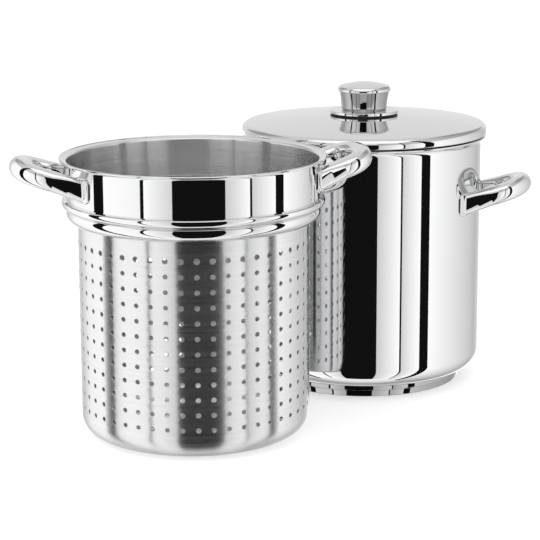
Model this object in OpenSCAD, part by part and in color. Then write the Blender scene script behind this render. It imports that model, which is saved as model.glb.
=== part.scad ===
// Pasta pot with a strainer insert standing beside it, and a lid with a turned knob.
// Millimetres. The origin is the middle of the pot's base on the table, +Z up,
// and the pot's two loop handles point along +X and -X.

/* [Sheet metal] */
// Thickness of the steel sheet of the pot, the insert and the lid
sheet_t = 0.8; // [0.6:0.1:1.2]

/* [Pot] */
// Inside radius of the pot
pot_bore_r = 110; // [100:1:120]
// Height of the pot's rim above the table
pot_h = 233; // [220:1:260]
// Outside radius of the corner between the pot's wall and its bottom
pot_corner_r = 21; // [14:1:28]
// Radial reach of the pot's flared rim beyond its wall, to the middle of the lip
pot_flare = 3.5; // [2.5:0.1:4.5]

/* [Base of the pot] */
// Thickness of the heat-spreading disc pressed under the pot
core_t = 10.2; // [6:0.1:14]
// Gap round the heat-spreading disc, inside the cap's foot
core_gap = 4; // [2:0.5:8]
// Thickness of the steel cap over the disc
cap_t = 0.8; // [0.6:0.1:1.2]
// How far the cap stands in from the pot's wall where it meets the table
cap_inset = 18.8; // [17:0.1:21]
// How far the cap widens from the table to its crease
cap_crease_out = 1.2; // [0.6:0.1:1.6]
// Height of the crease in the side of the cap
cap_crease_z = 6.2; // [4:0.1:8]

/* [Insert] */
// Clearance between the insert's collar and the pot's bore
collar_gap = 1.7; // [1.2:0.1:3]
// Height of the insert's rim above the middle of its seat bead
collar_h = 37.4; // [30:0.1:50]
// How far the bead that rests on the pot's rim reaches beyond the pot's bore
seat_bead_out = 2.9; // [2.4:0.1:3.4]
// Radius of the bead's round section
seat_bead_round = 3.7; // [3.2:0.1:4.2]
// How high the basket hangs above the pot's floor when the bead rests on the pot's rim
basket_rise = 16.6; // [5:0.1:30]
// Clearance in the pot of the rounded shoulder that centres the insert
shoulder_gap = 0.9; // [0.6:0.1:1.5]
// Radius of the shoulder's round section
shoulder_round = 8.5; // [7:0.1:9]
// Distance from the middle of the bead down to the middle of the shoulder's round section
shoulder_drop = 6.3; // [5.6:0.1:8]
// Radial reach of the insert's flared rim beyond its wall, to the middle of the lip
insert_flare = 5.5; // [4:0.1:6]
// Gap between the insert and the edge of the lid beside it
insert_gap = 1.3; // [1:0.1:60]
// Direction from the pot to the insert, counted from the pot's right handle
insert_bearing = 243.5; // [225:0.5:260]
// Turn of the insert's handles from the pot's handles
insert_turn = 27.3; // [0:0.1:45]

/* [Strainer basket] */
// Width of the flat ring between the shoulder's round section and the basket
shoulder_flat = 1.2; // [1:0.1:3]
// Outside radius of the corner between the basket's wall and its bottom
basket_corner_r = 17; // [12:1:22]
// Height of the sleeve of the basket inside the collar's turned-in edge
sleeve_h = 5.2; // [3:0.1:7]
// Diameter of a drain hole
hole_d = 4; // [3:0.1:5]
// Number of columns of holes round the wall
hole_columns = 48; // [36:1:56]
// Least plain height between the top row of holes and the shoulder
hole_top_gap = 19; // [8:0.5:40]
// Height of the lowest row of holes
first_row_z = 27; // [22:0.5:32]
// Height from one row to the next
row_pitch = 13; // [9:0.1:13.2]
// Turn of the first column from the handle
column_phase = -2.4; // [-4:0.1:4]
// Distance from one ring of holes in the bottom to the next
ring_pitch = 13; // [11:0.5:15]
// Least distance from the middle of a hole in the bottom to the rounded corner
hole_edge_gap = 3; // [3:0.5:10]

/* [Lid] */
// How far the lid's edge reaches beyond the pot's rim
lid_overhang = 0.8; // [0.6:0.1:3]
// Height of the lid's edge, from the pot's rim to where its flat top begins
lid_edge_h = 10.6; // [9:0.1:12]
// Radius of the rolled edge
lid_edge_round = 7; // [6:0.1:8]
// Width of the rolled edge, from the lid's outside to where its top begins
lid_edge_w = 5; // [4:0.1:6]
// Rise of the shallow crown from that line to the middle
lid_crown = 8; // [4:0.1:12]
// Gap between the lid's seat and the pot's rim
lid_seat_gap = 0.3; // [0.2:0.05:0.5]

/* [Knob] */
// Thickness of the black gasket at its edge
gasket_t = 1.6; // [1:0.1:3]
// Radius of the gasket
gasket_r = 31.6; // [28:0.1:32]
// Radius of the rosette under the knob
rosette_r = 32.6; // [30:0.1:36]
// Thickness of the rosette's edge
rosette_t = 2.5; // [2:0.1:4]
// Radius of the knob's foot
knob_foot_r = 20.9; // [18:0.1:23]
// Width of the foot bevel
knob_bevel_w = 0.5; // [0.3:0.1:2]
// Height of the foot bevel
knob_bevel_h = 2.2; // [1.5:0.1:4]
// How much wider the knob is under its cap than above its foot bevel
knob_widening = 2.6; // [0:0.1:3]
// Height of the knob's tapered body
knob_body_h = 17.4; // [14:0.1:24]
// Wall of the knob's body and cap
knob_wall = 1; // [0.8:0.1:1.5]
// How far the knob's domed cap reaches beyond its body
cap_overhang = 1.2; // [0.8:0.1:2]
// Radius of the cap's rounded upper edge
knob_cap_round = 4.8; // [4:0.1:5.5]
// Rise of the cap's dome above its edge
knob_dome = 2.9; // [1.5:0.1:4]
// Radius of the screw that holds the knob
screw_r = 3; // [2:0.5:4]
// Clearance round the screw
screw_gap = 0.05; // [0.02:0.01:0.1]
// Radius of the screw's head
screw_head_r = 5.5; // [5:0.1:7]
// Height of the screw's head
screw_head_h = 3; // [2:0.1:4]
// Radius of the washer under the lid
washer_r = 10; // [8:0.5:14]
// Thickness of the washer
washer_t = 1; // [0.8:0.1:2]
// Outside radius of the threaded bush inside the knob
bush_r = 5.5; // [5:0.1:8]
// Height of the threaded bush
bush_h = 12; // [8:0.5:14]

/* [Loop handles] */
// Reach of the grip's centre line from the wall, in the handle's sloping plane
grip_reach = 41; // [34:0.5:46]
// Upward slope of the handle
handle_slope = 18; // [0:0.5:25]
// Half the distance between the two legs at the wall
leg_half_span = 38.5; // [32:0.5:42]
// Half the width of the loop where its legs end and its round nose begins
nose_half_span = 30.5; // [24:0.5:34]
// Share of the reach that the straight legs take
leg_share = 0.48; // [0.35:0.01:0.6]
// Squareness of the nose, where 2 is an ellipse
nose_power = 2.3; // [2:0.1:3]
// Half the width of a leg where it meets its foot
leg_half_w = 5; // [4:0.1:7]
// Half the width of the loop at its shoulders
bend_half_w = 9.6; // [7:0.1:10]
// Half the thickness of the grip seen from above
grip_half_w = 8.8; // [7:0.1:10]
// Half the height of a leg
leg_half_h = 8.6; // [7:0.1:10]
// Half the height of the grip
grip_half_h = 9; // [7:0.1:10]
// Wall of the hollow handle
handle_wall = 1.2; // [0.8:0.1:2]
// Distance from the pot's rim down to where its handles' plane meets the wall
pot_handle_drop = 55.7; // [40:0.1:90]
// Distance from the insert's rim down to where its handles' plane meets the wall
insert_handle_drop = 18; // [16:0.5:20]

/* [Handle feet] */
// Thickness of a foot plate
foot_t = 1.6; // [1:0.1:2.5]
// Width of a foot plate round the wall
foot_w = 24; // [20:0.5:28]
// Height of a foot plate
foot_h = 21; // [20:0.5:24]
// Corner radius of a foot plate
foot_corner_r = 6; // [3:0.5:8]

/* [Hidden] */
$fn = 96;
steel = "#c9ccce";
satin = "#aeb1b3";
aluminium = "#9fa3a6";
rubber = "#161616";

// How far a cutting shape reaches past what it cuts
cut = 1;

// Sides of the flat polygons that stand for a drain hole, the knob's dome and the lid's crown
hole_sides = 24;
dome_sides = 360;
crown_sides = 720;

// The pot's rim, and the round lip at its end
pot_wall_r = pot_bore_r + sheet_t;
lip_round = 1.1;
pot_flare_turn = 63;
insert_flare_turn = 75;
pot_lip_r = pot_bore_r + sheet_t / 2 + pot_flare;
pot_handle_z = pot_h - pot_handle_drop;

// The base, from the table up
core_z = cap_t;
vessel_z = core_z + core_t;
cap_foot_r = pot_wall_r - cap_inset;
core_r = cap_foot_r - core_gap;
corner_x = pot_wall_r - pot_corner_r;
corner_z = vessel_z + pot_corner_r;
cap_crease_r = cap_foot_r + cap_crease_out;
cap_top_out = 1.3;
cap_top_r = cap_crease_r + cap_top_out;
cap_chamfer = 1;

// The insert, which fits the pot and hangs from its rim when it is in use
collar_r = pot_bore_r - collar_gap;
seat_bead_r = pot_bore_r + seat_bead_out;
seat_bead_z = pot_h - vessel_z - sheet_t - basket_rise;
insert_h = seat_bead_z + collar_h;
insert_handle_z = insert_h - insert_handle_drop;
shoulder_r = pot_bore_r - shoulder_gap;
shoulder_z = seat_bead_z - shoulder_drop;
shoulder_x = shoulder_r - shoulder_round;
shoulder_base_z = shoulder_z - shoulder_round;
basket_r = shoulder_x - shoulder_flat;
basket_top_z = shoulder_base_z + sleeve_h;
hole_rows = floor((shoulder_base_z - hole_top_gap - first_row_z) / row_pitch) + 1;
hole_rings = floor((basket_r - basket_corner_r - hole_edge_gap) / ring_pitch);
drill_l = 10 * sheet_t;

// The lid, from the pot's rim up
lid_seat_z = pot_h + lid_seat_gap;
hem_round = 1.3;
hem_step = 0.6;
lid_r = pot_lip_r + lip_round + lid_overhang;
lid_top_r = lid_r - lid_edge_w;
lid_shelf_z = pot_h + lid_edge_h;
lid_roll_x = lid_r - lid_edge_round;
lid_roll_drop = sqrt(pow(lid_edge_round, 2) - pow(lid_top_r - lid_roll_x, 2));
lid_roll_z = lid_shelf_z - lid_roll_drop;
crown_r = (pow(lid_top_r, 2) + pow(lid_crown, 2)) / (2 * lid_crown);
crown_top_z = lid_shelf_z + lid_crown;
crown_mid_z = crown_top_z - crown_r;
hem_z = lid_seat_z + hem_round;

// The knob, from the crown up
gasket_seat_z = crown_z(gasket_r);
gasket_bore_gap = 0.5;
gasket_steps = 8;
rosette_z = gasket_seat_z + gasket_t;
rosette_round = 0.9;
rosette_hub_r = 11;
rosette_sheet = 1;
knob_z = rosette_z + rosette_t;
knob_top_z = knob_z + knob_body_h;
knob_low_r = knob_foot_r + knob_bevel_w;
knob_top_r = knob_low_r + knob_widening;
knob_cap_r = knob_top_r + cap_overhang;
cap_edge_x = knob_cap_r - knob_cap_round;
cap_edge_z = knob_top_z + cap_overhang;
cap_dome_r = (pow(cap_edge_x, 2) + pow(knob_dome, 2)) / (2 * knob_dome);
cap_dome_z = cap_edge_z + knob_cap_round + knob_dome - cap_dome_r;
plug_gap = 0.1;
plug_depth = 2.6;
// The body narrows downwards, so the plug clears it at its own lower end
plug_narrowing = knob_widening * plug_depth / (knob_body_h - knob_bevel_h);
under_lid_z = crown_mid_z + sqrt(pow(crown_r - sheet_t, 2) - pow(washer_r, 2));
washer_z = under_lid_z - washer_t;
screw_short = 1;
screw_tip_z = knob_z + bush_h - screw_short;

// The handle's rings of points
leg_rings = 4;
nose_rings = 25;
ring_count = 2 * leg_rings + nose_rings;
ring_sides = 16;
foot_power = 4.5;
bend_power = 2.6;
grip_power = 2.1;

// The insert's place: its rim and its handles keep their gap to the lid
insert_rim_r = collar_r - sheet_t / 2 + insert_flare + lip_round;
insert_away = max(
    lid_r + insert_gap + insert_rim_r,
    max([for (i = [0:ring_count - 1], side = [0, 180]) ring_away(i, insert_turn + side - insert_bearing)])
);
insert_x = insert_away * cos(insert_bearing);
insert_y = insert_away * sin(insert_bearing);

// Flat helpers, drawn in the plane of radius and height

// A round section of which only one quarter is kept, where (sx, sz) says which
module quarter(radius, sx, sz) {
    intersection() {
        circle(radius);
        translate([sx < 0 ? -radius : 0, sz < 0 ? -radius : 0]) square(radius);
    }
}

// Sheet that leaves a wall upwards and curls outwards by a turn, ending in a round lip
module flared_rim(wall_mid_r, rim_z, reach, turn) {
    bend_r = reach / (1 - cos(turn));
    bend_z = rim_z - lip_round - bend_r * sin(turn);
    // The sheet's own section, cut from a round by the wedge between the wall and the lip
    wedge = 2 * bend_r;
    translate([wall_mid_r + bend_r, bend_z]) intersection() {
        difference() {
            circle(bend_r + sheet_t / 2);
            circle(bend_r - sheet_t / 2);
        }
        polygon([[0, 0], [-wedge, 0], [-wedge, wedge * tan(turn / 2)],
            [-wedge * cos(turn), wedge * sin(turn)]]);
    }
    translate([wall_mid_r + reach, rim_z - lip_round]) circle(lip_round);
}

// Height at which a flared rim leaves its straight wall
function flare_start_z(rim_z, reach, turn) = rim_z - lip_round - reach / (1 - cos(turn)) * sin(turn);

// A wall with a flat bottom and a rounded corner between them, as a filled half section
module cup_section(outer_r, base_z, corner, top_z) {
    translate([0, base_z]) square([outer_r - corner, top_z - base_z]);
    translate([0, base_z + corner]) square([outer_r, top_z - base_z - corner]);
    translate([outer_r - corner, base_z + corner]) circle(corner);
}

// The pot's outside up to a height, which the base cap is fitted to
module pot_outside(top_z) {
    cup_section(pot_wall_r, vessel_z, pot_corner_r, top_z);
}

module pot_shell() {
    wall_top_z = flare_start_z(pot_h, pot_flare, pot_flare_turn);
    color(steel) rotate_extrude() {
        difference() {
            pot_outside(wall_top_z);
            cup_section(pot_bore_r, vessel_z + sheet_t, pot_corner_r - sheet_t, wall_top_z + cut);
        }
        flared_rim(pot_bore_r + sheet_t / 2, pot_h, pot_flare, pot_flare_turn);
    }
}

module pot_base_core() {
    color(aluminium) translate([0, 0, core_z]) cylinder(h = core_t, r = core_r);
}

// The cap's half section: a foot, a crease and a rim that ends on the pot's corner
module cap_section(inset) {
    polygon([
        [0, inset], [cap_foot_r - cap_chamfer - inset, inset], [cap_foot_r - inset, cap_chamfer + inset],
        [cap_crease_r - inset, cap_crease_z], [cap_top_r - inset, corner_z], [0, corner_z]
    ]);
}

module pot_base_cap() {
    color(steel) rotate_extrude() difference() {
        cap_section(0);
        cap_section(cap_t);
        translate([0, vessel_z]) square([corner_x, pot_corner_r + cut]);
        translate([corner_x, corner_z]) circle(pot_corner_r);
    }
}

// Handles: a loop swept along its centre line, hollow, with both ends cut to the wall

function mix(a, b, f) = a + (b - a) * f;
function power(base, exponent) = sign(base) * pow(abs(base), exponent);

// Where the legs start, a little inside the face of the foot plate
function root_depth(wall_r) = wall_r - sqrt(pow(wall_r, 2) - pow(leg_half_span, 2));

// Centre line of ring i: reach from the wall, place along the wall, and how far round it is,
// from 0 at a foot through 1 at the shoulder to 2 at the middle of the nose
function centre(i, root) =
    i < leg_rings ? leg_point(i / leg_rings, root, -1)
    : i > ring_count - 1 - leg_rings ? leg_point((ring_count - 1 - i) / leg_rings, root, 1)
    : nose_point((i - leg_rings) / (nose_rings - 1) * 180 - 90, root);
function leg_point(f, root, side) = [
    -root + leg_share * (grip_reach + root) * f,
    side * mix(leg_half_span, nose_half_span, f),
    f
];
function nose_point(angle, root) = [
    -root + (grip_reach + root) * (leg_share + (1 - leg_share) * power(cos(angle), 2 / nose_power)),
    nose_half_span * power(sin(angle), 2 / nose_power),
    1 + power(cos(angle), 2 / nose_power)
];

// Value along the loop between its foot, shoulder and nose
function along(f, foot, bend, grip) = f < 1 ? mix(foot, bend, f) : mix(bend, grip, f - 1);

// Half the width of the loop at a place round it
function half_width(f) = along(f, leg_half_w, bend_half_w, grip_half_w);

// How far from the pot the insert's axis stands, so that ring i of a handle keeps its gap to the lid
function ring_away(i, turn) =
    let (
        c = centre(i, root_depth(collar_r)),
        x = collar_r + c.x * cos(handle_slope),
        to_pot = x * cos(turn) - c.y * sin(turn),
        across = x * sin(turn) + c.y * cos(turn),
        clear_r = lid_r + insert_gap + half_width(c.z)
    ) abs(across) < clear_r ? sqrt(pow(clear_r, 2) - pow(across, 2)) - to_pot : 0;

// One point of a ring, in the handle's sloping plane: reach, along the wall, up
function ring_point(i, j, root, inset) =
    let (
        c = centre(i, root),
        before = centre(max(i - 1, 0), root),
        after = centre(min(i + 1, ring_count - 1), root),
        run = [after.x - before.x, after.y - before.y] / norm([after.x - before.x, after.y - before.y]),
        half_w = half_width(c.z) - inset,
        half_h = along(c.z, leg_half_h, leg_half_h, grip_half_h) - inset,
        exponent = 2 / along(c.z, foot_power, bend_power, grip_power),
        a = j * 360 / ring_sides,
        across = half_w * power(cos(a), exponent)
    ) [c.x + run.y * across, c.y - run.x * across, half_h * power(sin(a), exponent), run.x, run.y];

// The point turned up by the slope, at its place outside the wall
function raised(p, wall_r, z) = [
    wall_r + p.x * cos(handle_slope) - p.z * sin(handle_slope),
    p.y,
    z + p.x * sin(handle_slope) + p.z * cos(handle_slope)
];

// A ring's point slid along its leg until it is on the foot plate's round face
function seated(p, wall_r, z) =
    let (
        face_r = wall_r + foot_t,
        start = raised(p, wall_r, z),
        step = [p[3] * cos(handle_slope), p[4], p[3] * sin(handle_slope)],
        a = pow(step.x, 2) + pow(step.y, 2),
        b = 2 * (start.x * step.x + start.y * step.y),
        c = pow(start.x, 2) + pow(start.y, 2) - pow(face_r, 2),
        way = sign(step.x),
        s = (-b + way * sqrt(pow(b, 2) - 4 * a * c)) / (2 * a)
    ) start + step * s;

function handle_ring(i, wall_r, z, inset) =
    let (root = root_depth(wall_r))
    [for (j = [0:ring_sides - 1])
        let (p = ring_point(i, j, root, inset))
        i == 0 || i == ring_count - 1 ? seated(p, wall_r, z) : raised(p, wall_r, z)];

module loop_handle(wall_r, z) {
    outer = [for (i = [0:ring_count - 1]) each handle_ring(i, wall_r, z, 0)];
    inner = [for (i = [0:ring_count - 1]) each handle_ring(i, wall_r, z, handle_wall)];
    count = ring_count * ring_sides;
    last = (ring_count - 1) * ring_sides;
    skin = [for (i = [0:ring_count - 2], j = [0:ring_sides - 1])
        let (a = i * ring_sides + j, b = i * ring_sides + (j + 1) % ring_sides)
        each [[a, b, b + ring_sides], [a, b + ring_sides, a + ring_sides]]];
    lining = [for (t = skin) [t[0] + count, t[2] + count, t[1] + count]];
    ends = [for (j = [0:ring_sides - 1], start = [0, last])
        let (
            a = start + j,
            b = start + (j + 1) % ring_sides,
            faces = [[a, a + count, b], [b, a + count, b + count]]
        )
        each start == 0 ? faces : [for (t = faces) [t[0], t[2], t[1]]]];
    polyhedron(points = concat(outer, inner), faces = concat(skin, lining, ends), convexity = 6);
}

// A foot plate: a rounded rectangle of sheet bent round the wall under one leg
module foot_plate(wall_r, z, side) {
    turn = side * asin(leg_half_span / wall_r);
    mid_z = z - root_depth(wall_r) * sin(handle_slope);
    rotate([0, 0, turn]) intersection() {
        translate([0, 0, mid_z - foot_h]) difference() {
            cylinder(h = 2 * foot_h, r = wall_r + foot_t);
            translate([0, 0, -cut]) cylinder(h = 2 * foot_h + 2 * cut, r = wall_r);
        }
        // The block that trims it to its outline reaches well inside and outside the plate
        translate([wall_r - foot_w / 4, 0, mid_z])
            rotate([90, 0, 90]) linear_extrude(foot_w / 2) plate_outline();
    }
}

module plate_outline() {
    flat_w = foot_w - 2 * foot_corner_r;
    flat_h = foot_h - 2 * foot_corner_r;
    square([flat_w, foot_h], center = true);
    square([foot_w, flat_h], center = true);
    for (sx = [-1, 1], sz = [-1, 1])
        translate([sx * flat_w / 2, sz * flat_h / 2]) circle(foot_corner_r);
}

module pot_handle_right() {
    color(steel) loop_handle(pot_wall_r, pot_handle_z);
}

module pot_handle_left() {
    color(steel) rotate([0, 0, 180]) loop_handle(pot_wall_r, pot_handle_z);
}

module pot_foot_right_front() {
    color(steel) foot_plate(pot_wall_r, pot_handle_z, -1);
}

module pot_foot_right_back() {
    color(steel) foot_plate(pot_wall_r, pot_handle_z, 1);
}

module pot_foot_left_front() {
    color(steel) rotate([0, 0, 180]) foot_plate(pot_wall_r, pot_handle_z, 1);
}

module pot_foot_left_back() {
    color(steel) rotate([0, 0, 180]) foot_plate(pot_wall_r, pot_handle_z, -1);
}

// Lid

// Height of the lid's crown at a radius
function crown_z(radius) = crown_mid_z + sqrt(pow(crown_r, 2) - pow(radius, 2));

// Half section of the lid's outside, or of its inside when it is drawn smaller
module lid_outline(inset) {
    intersection() {
        translate([0, crown_mid_z]) circle(crown_r - inset, $fn = crown_sides);
        translate([0, hem_z]) square([lid_top_r, crown_top_z - hem_z]);
    }
    translate([lid_roll_x, lid_roll_z]) circle(lid_edge_round - inset);
    translate([0, hem_z]) square([lid_r - inset, lid_roll_z - hem_z]);
}

module lid_shell() {
    color(steel) rotate_extrude() {
        difference() {
            intersection() {
                lid_outline(0);
                translate([0, hem_z]) square([lid_r, crown_top_z]);
            }
            lid_outline(sheet_t);
            translate([0, hem_z]) square([screw_r + screw_gap, crown_top_z]);
        }
        // The edge is turned under, into a round hem that rests on the pot's rim
        translate([lid_r - hem_round, hem_z + hem_step]) circle(hem_round);
        translate([lid_r - 2 * hem_round, hem_z]) circle(hem_round);
    }
}

// Knob

module knob_gasket() {
    bore = screw_r + screw_gap + gasket_bore_gap;
    // Its underside follows the crown, and its top is flat
    underside = [for (i = [0:gasket_steps])
        let (r = mix(bore, gasket_r, i / gasket_steps)) [r, crown_z(r)]];
    color(rubber) rotate_extrude() polygon(concat(underside, [[gasket_r, rosette_z], [bore, rosette_z]]));
}

module knob_rosette() {
    bore = screw_r + screw_gap;
    color(steel) rotate_extrude() difference() {
        union() {
            translate([bore, rosette_z]) square([rosette_r - rosette_round - bore, rosette_t]);
            translate([bore, rosette_z]) square([rosette_r - bore, rosette_t - rosette_round]);
            translate([rosette_r - rosette_round, knob_z - rosette_round]) circle(rosette_round);
        }
        translate([rosette_hub_r, rosette_z - cut])
            square([rosette_r - rosette_sheet - rosette_hub_r, rosette_t - rosette_sheet + cut]);
    }
}

module knob_body() {
    color(steel) rotate_extrude() difference() {
        polygon([
            [bush_r, knob_z], [knob_foot_r, knob_z], [knob_low_r, knob_z + knob_bevel_h],
            [knob_top_r, knob_top_z], [bush_r, knob_top_z]
        ]);
        polygon([
            [bush_r - cut, knob_z + knob_wall], [knob_foot_r - knob_wall, knob_z + knob_wall],
            [knob_low_r - knob_wall, knob_z + knob_bevel_h], [knob_top_r - knob_wall, knob_top_z],
            [knob_top_r - knob_wall, knob_top_z + cut], [bush_r - cut, knob_top_z + cut]
        ]);
    }
}

module knob_cap() {
    plug_r = knob_top_r - knob_wall - plug_narrowing - plug_gap;
    rim_z = knob_top_z + knob_wall;
    color(steel) rotate_extrude() difference() {
        union() {
            intersection() {
                translate([cap_edge_x, cap_edge_z]) circle(knob_cap_round);
                translate([0, cap_edge_z]) square([knob_cap_r, knob_cap_round]);
            }
            translate([knob_top_r, cap_edge_z]) circle(cap_overhang);
            translate([0, knob_top_z]) square([knob_top_r, cap_overhang]);
            translate([0, knob_top_z]) square([cap_edge_x, cap_overhang + knob_cap_round]);
            intersection() {
                translate([0, cap_dome_z]) circle(cap_dome_r, $fn = dome_sides);
                translate([0, knob_top_z]) square([cap_edge_x, cap_dome_z + cap_dome_r]);
            }
            translate([0, knob_top_z - plug_depth]) square([plug_r, plug_depth]);
        }
        translate([0, knob_top_z - plug_depth - cut])
            square([plug_r - knob_wall, plug_depth + cut + cap_overhang + knob_cap_round - knob_wall]);
        intersection() {
            translate([0, cap_dome_z]) circle(cap_dome_r - knob_wall, $fn = dome_sides);
            translate([0, rim_z]) square([plug_r - knob_wall, cap_dome_z + cap_dome_r]);
        }
    }
}

module knob_bush() {
    color(steel) translate([0, 0, knob_z]) difference() {
        cylinder(h = bush_h, r = bush_r);
        translate([0, 0, -cut]) cylinder(h = bush_h + 2 * cut, r = screw_r + screw_gap);
    }
}

module knob_screw() {
    color(satin) translate([0, 0, washer_z - screw_head_h]) {
        cylinder(h = screw_head_h, r = screw_head_r);
        cylinder(h = screw_head_h + screw_tip_z - washer_z, r = screw_r);
    }
}

module knob_washer() {
    color(satin) translate([0, 0, washer_z]) difference() {
        cylinder(h = washer_t, r = washer_r);
        translate([0, 0, -cut]) cylinder(h = washer_t + 2 * cut, r = screw_r + screw_gap);
    }
}

// Insert

// Everything of the insert stands on its own axis beside the pot
module at_insert() {
    translate([insert_x, insert_y, 0]) rotate([0, 0, insert_turn]) children();
}

// A fold of the sheet: a round ring of it, without what would reach inside the collar
module bead_section(middle_r, z, radius) {
    wall_in_x = collar_r - sheet_t - middle_r;
    translate([middle_r, z]) difference() {
        circle(radius);
        circle(radius - sheet_t);
        translate([wall_in_x - 2 * radius, -radius]) square(2 * radius);
    }
}

module collar_section() {
    bead_mid_r = seat_bead_r - seat_bead_round;
    wall_in_r = collar_r - sheet_t;
    bead_half = sqrt(pow(seat_bead_round, 2) - pow(collar_r - bead_mid_r, 2));
    wall_top_z = flare_start_z(insert_h, insert_flare, insert_flare_turn);
    // Wall above the seat bead, and the flared rim
    translate([wall_in_r, seat_bead_z + bead_half - sheet_t])
        square([sheet_t, wall_top_z - seat_bead_z - bead_half + sheet_t]);
    flared_rim(collar_r - sheet_t / 2, insert_h, insert_flare, insert_flare_turn);
    bead_section(bead_mid_r, seat_bead_z, seat_bead_round);
    // Short wall between the seat bead and the shoulder
    translate([wall_in_r, shoulder_z])
        square([shoulder_r - wall_in_r, seat_bead_z - bead_half + sheet_t - shoulder_z]);
    // Shoulder, turned in and then up into the sleeve that the basket is welded into
    translate([shoulder_x, shoulder_z]) difference() {
        quarter(shoulder_round, 1, -1);
        circle(shoulder_round - sheet_t);
    }
    translate([basket_r, shoulder_base_z]) square([shoulder_x - basket_r, sheet_t]);
    translate([basket_r, shoulder_base_z]) square([sheet_t, sleeve_h]);
}

module insert_collar() {
    color(steel) at_insert() rotate_extrude() collar_section();
}

module insert_basket() {
    color(satin) at_insert() difference() {
        rotate_extrude() difference() {
            cup_section(basket_r, 0, basket_corner_r, basket_top_z);
            cup_section(basket_r - sheet_t, sheet_t, basket_corner_r - sheet_t, basket_top_z + cut);
        }
        wall_holes();
        bottom_holes();
    }
}

module wall_holes() {
    for (row = [0:hole_rows - 1], column = [0:hole_columns - 1])
        rotate([0, 0, column_phase + column * 360 / hole_columns])
            translate([basket_r - drill_l / 2, 0, first_row_z + row * row_pitch])
                rotate([0, 90, 0]) cylinder(h = drill_l, d = hole_d, $fn = hole_sides);
}

module bottom_holes() {
    bottom_hole();
    for (ring = [1:hole_rings], k = [0:6 * ring - 1])
        rotate([0, 0, k * 60 / ring]) translate([ring * ring_pitch, 0, 0]) bottom_hole();
}

module bottom_hole() {
    translate([0, 0, -cut]) cylinder(h = sheet_t + 2 * cut, d = hole_d, $fn = hole_sides);
}

module insert_handle_right() {
    color(steel) at_insert() loop_handle(collar_r, insert_handle_z);
}

module insert_handle_left() {
    color(steel) at_insert() rotate([0, 0, 180]) loop_handle(collar_r, insert_handle_z);
}

module insert_foot_right_front() {
    color(steel) at_insert() foot_plate(collar_r, insert_handle_z, -1);
}

module insert_foot_right_back() {
    color(steel) at_insert() foot_plate(collar_r, insert_handle_z, 1);
}

module insert_foot_left_front() {
    color(steel) at_insert() rotate([0, 0, 180]) foot_plate(collar_r, insert_handle_z, 1);
}

module insert_foot_left_back() {
    color(steel) at_insert() rotate([0, 0, 180]) foot_plate(collar_r, insert_handle_z, -1);
}

pot_shell();
pot_base_core();
pot_base_cap();
pot_handle_right();
pot_handle_left();
pot_foot_right_front();
pot_foot_right_back();
pot_foot_left_front();
pot_foot_left_back();
lid_shell();
knob_gasket();
knob_rosette();
knob_body();
knob_cap();
knob_bush();
knob_screw();
knob_washer();
insert_collar();
insert_basket();
insert_handle_right();
insert_handle_left();
insert_foot_right_front();
insert_foot_right_back();
insert_foot_left_front();
insert_foot_left_back();
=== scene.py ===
"""A pasta pot with its lid on and its strainer insert standing in front, dressed for a studio picture.

All sizes are in metres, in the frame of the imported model: the origin is the middle of the pot's base on the
table, +Z is up, and the pot's two loop handles point along X.
"""

import logging
import math
from dataclasses import dataclass
from enum import Enum
from typing import Callable, Iterable, Sequence

import bmesh
import bpy
from mathutils import Matrix, Vector


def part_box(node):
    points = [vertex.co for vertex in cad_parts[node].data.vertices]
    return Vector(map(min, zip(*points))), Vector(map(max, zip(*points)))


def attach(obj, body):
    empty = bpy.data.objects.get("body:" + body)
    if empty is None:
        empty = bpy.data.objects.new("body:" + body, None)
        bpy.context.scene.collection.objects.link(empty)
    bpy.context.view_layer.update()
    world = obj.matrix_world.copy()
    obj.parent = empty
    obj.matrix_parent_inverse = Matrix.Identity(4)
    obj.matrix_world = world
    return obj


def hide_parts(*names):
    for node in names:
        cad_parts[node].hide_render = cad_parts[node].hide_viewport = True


LOG = logging.getLogger("pasta_pot")
ORIGIN = Vector((0.0, 0.0, 0.0))
UP = Vector((0.0, 0.0, 1.0))
WHITE = (1.0, 1.0, 1.0, 1.0)
# Points closer than this are one point, and along the seams of the flat sheet they may be further apart
MERGE = 1e-6
SEAM = 2e-5
# How far the shading points of a short stretch of a profile are from its ends
FINE = 0.0003
# Places of the two colours and of their mixture among the sockets of a Mix node
MIX_FIRST, MIX_SECOND, MIX_RESULT = 6, 7, 2

Point = tuple[float, float]
Pair = tuple[float, float]
Place = tuple[float, float, float]
Colour = tuple[float, float, float]

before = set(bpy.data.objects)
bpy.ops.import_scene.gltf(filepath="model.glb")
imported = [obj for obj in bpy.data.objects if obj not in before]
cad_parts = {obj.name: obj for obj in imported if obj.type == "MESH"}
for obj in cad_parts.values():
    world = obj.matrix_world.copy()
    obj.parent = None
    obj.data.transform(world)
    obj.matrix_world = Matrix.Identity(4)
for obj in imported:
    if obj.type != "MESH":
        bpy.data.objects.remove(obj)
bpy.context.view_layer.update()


class Body(Enum):
    """The bodies that move apart from each other."""

    POT = "pot"
    LID = "lid"
    INSERT = "insert"


class Slot(Enum):
    """The record's material slots that the drawn pieces have."""

    POLISHED = "polished_steel"
    SATIN = "satin_steel"
    GASKET = "black_gasket"


# Finishes


@dataclass(frozen=True)
class Streaks:
    """Fine lines round an axis: how often one changes in a metre along it, and how many lie in a metre."""

    along: float
    across: float
    detail: float
    roughness: float = 0.6


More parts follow.
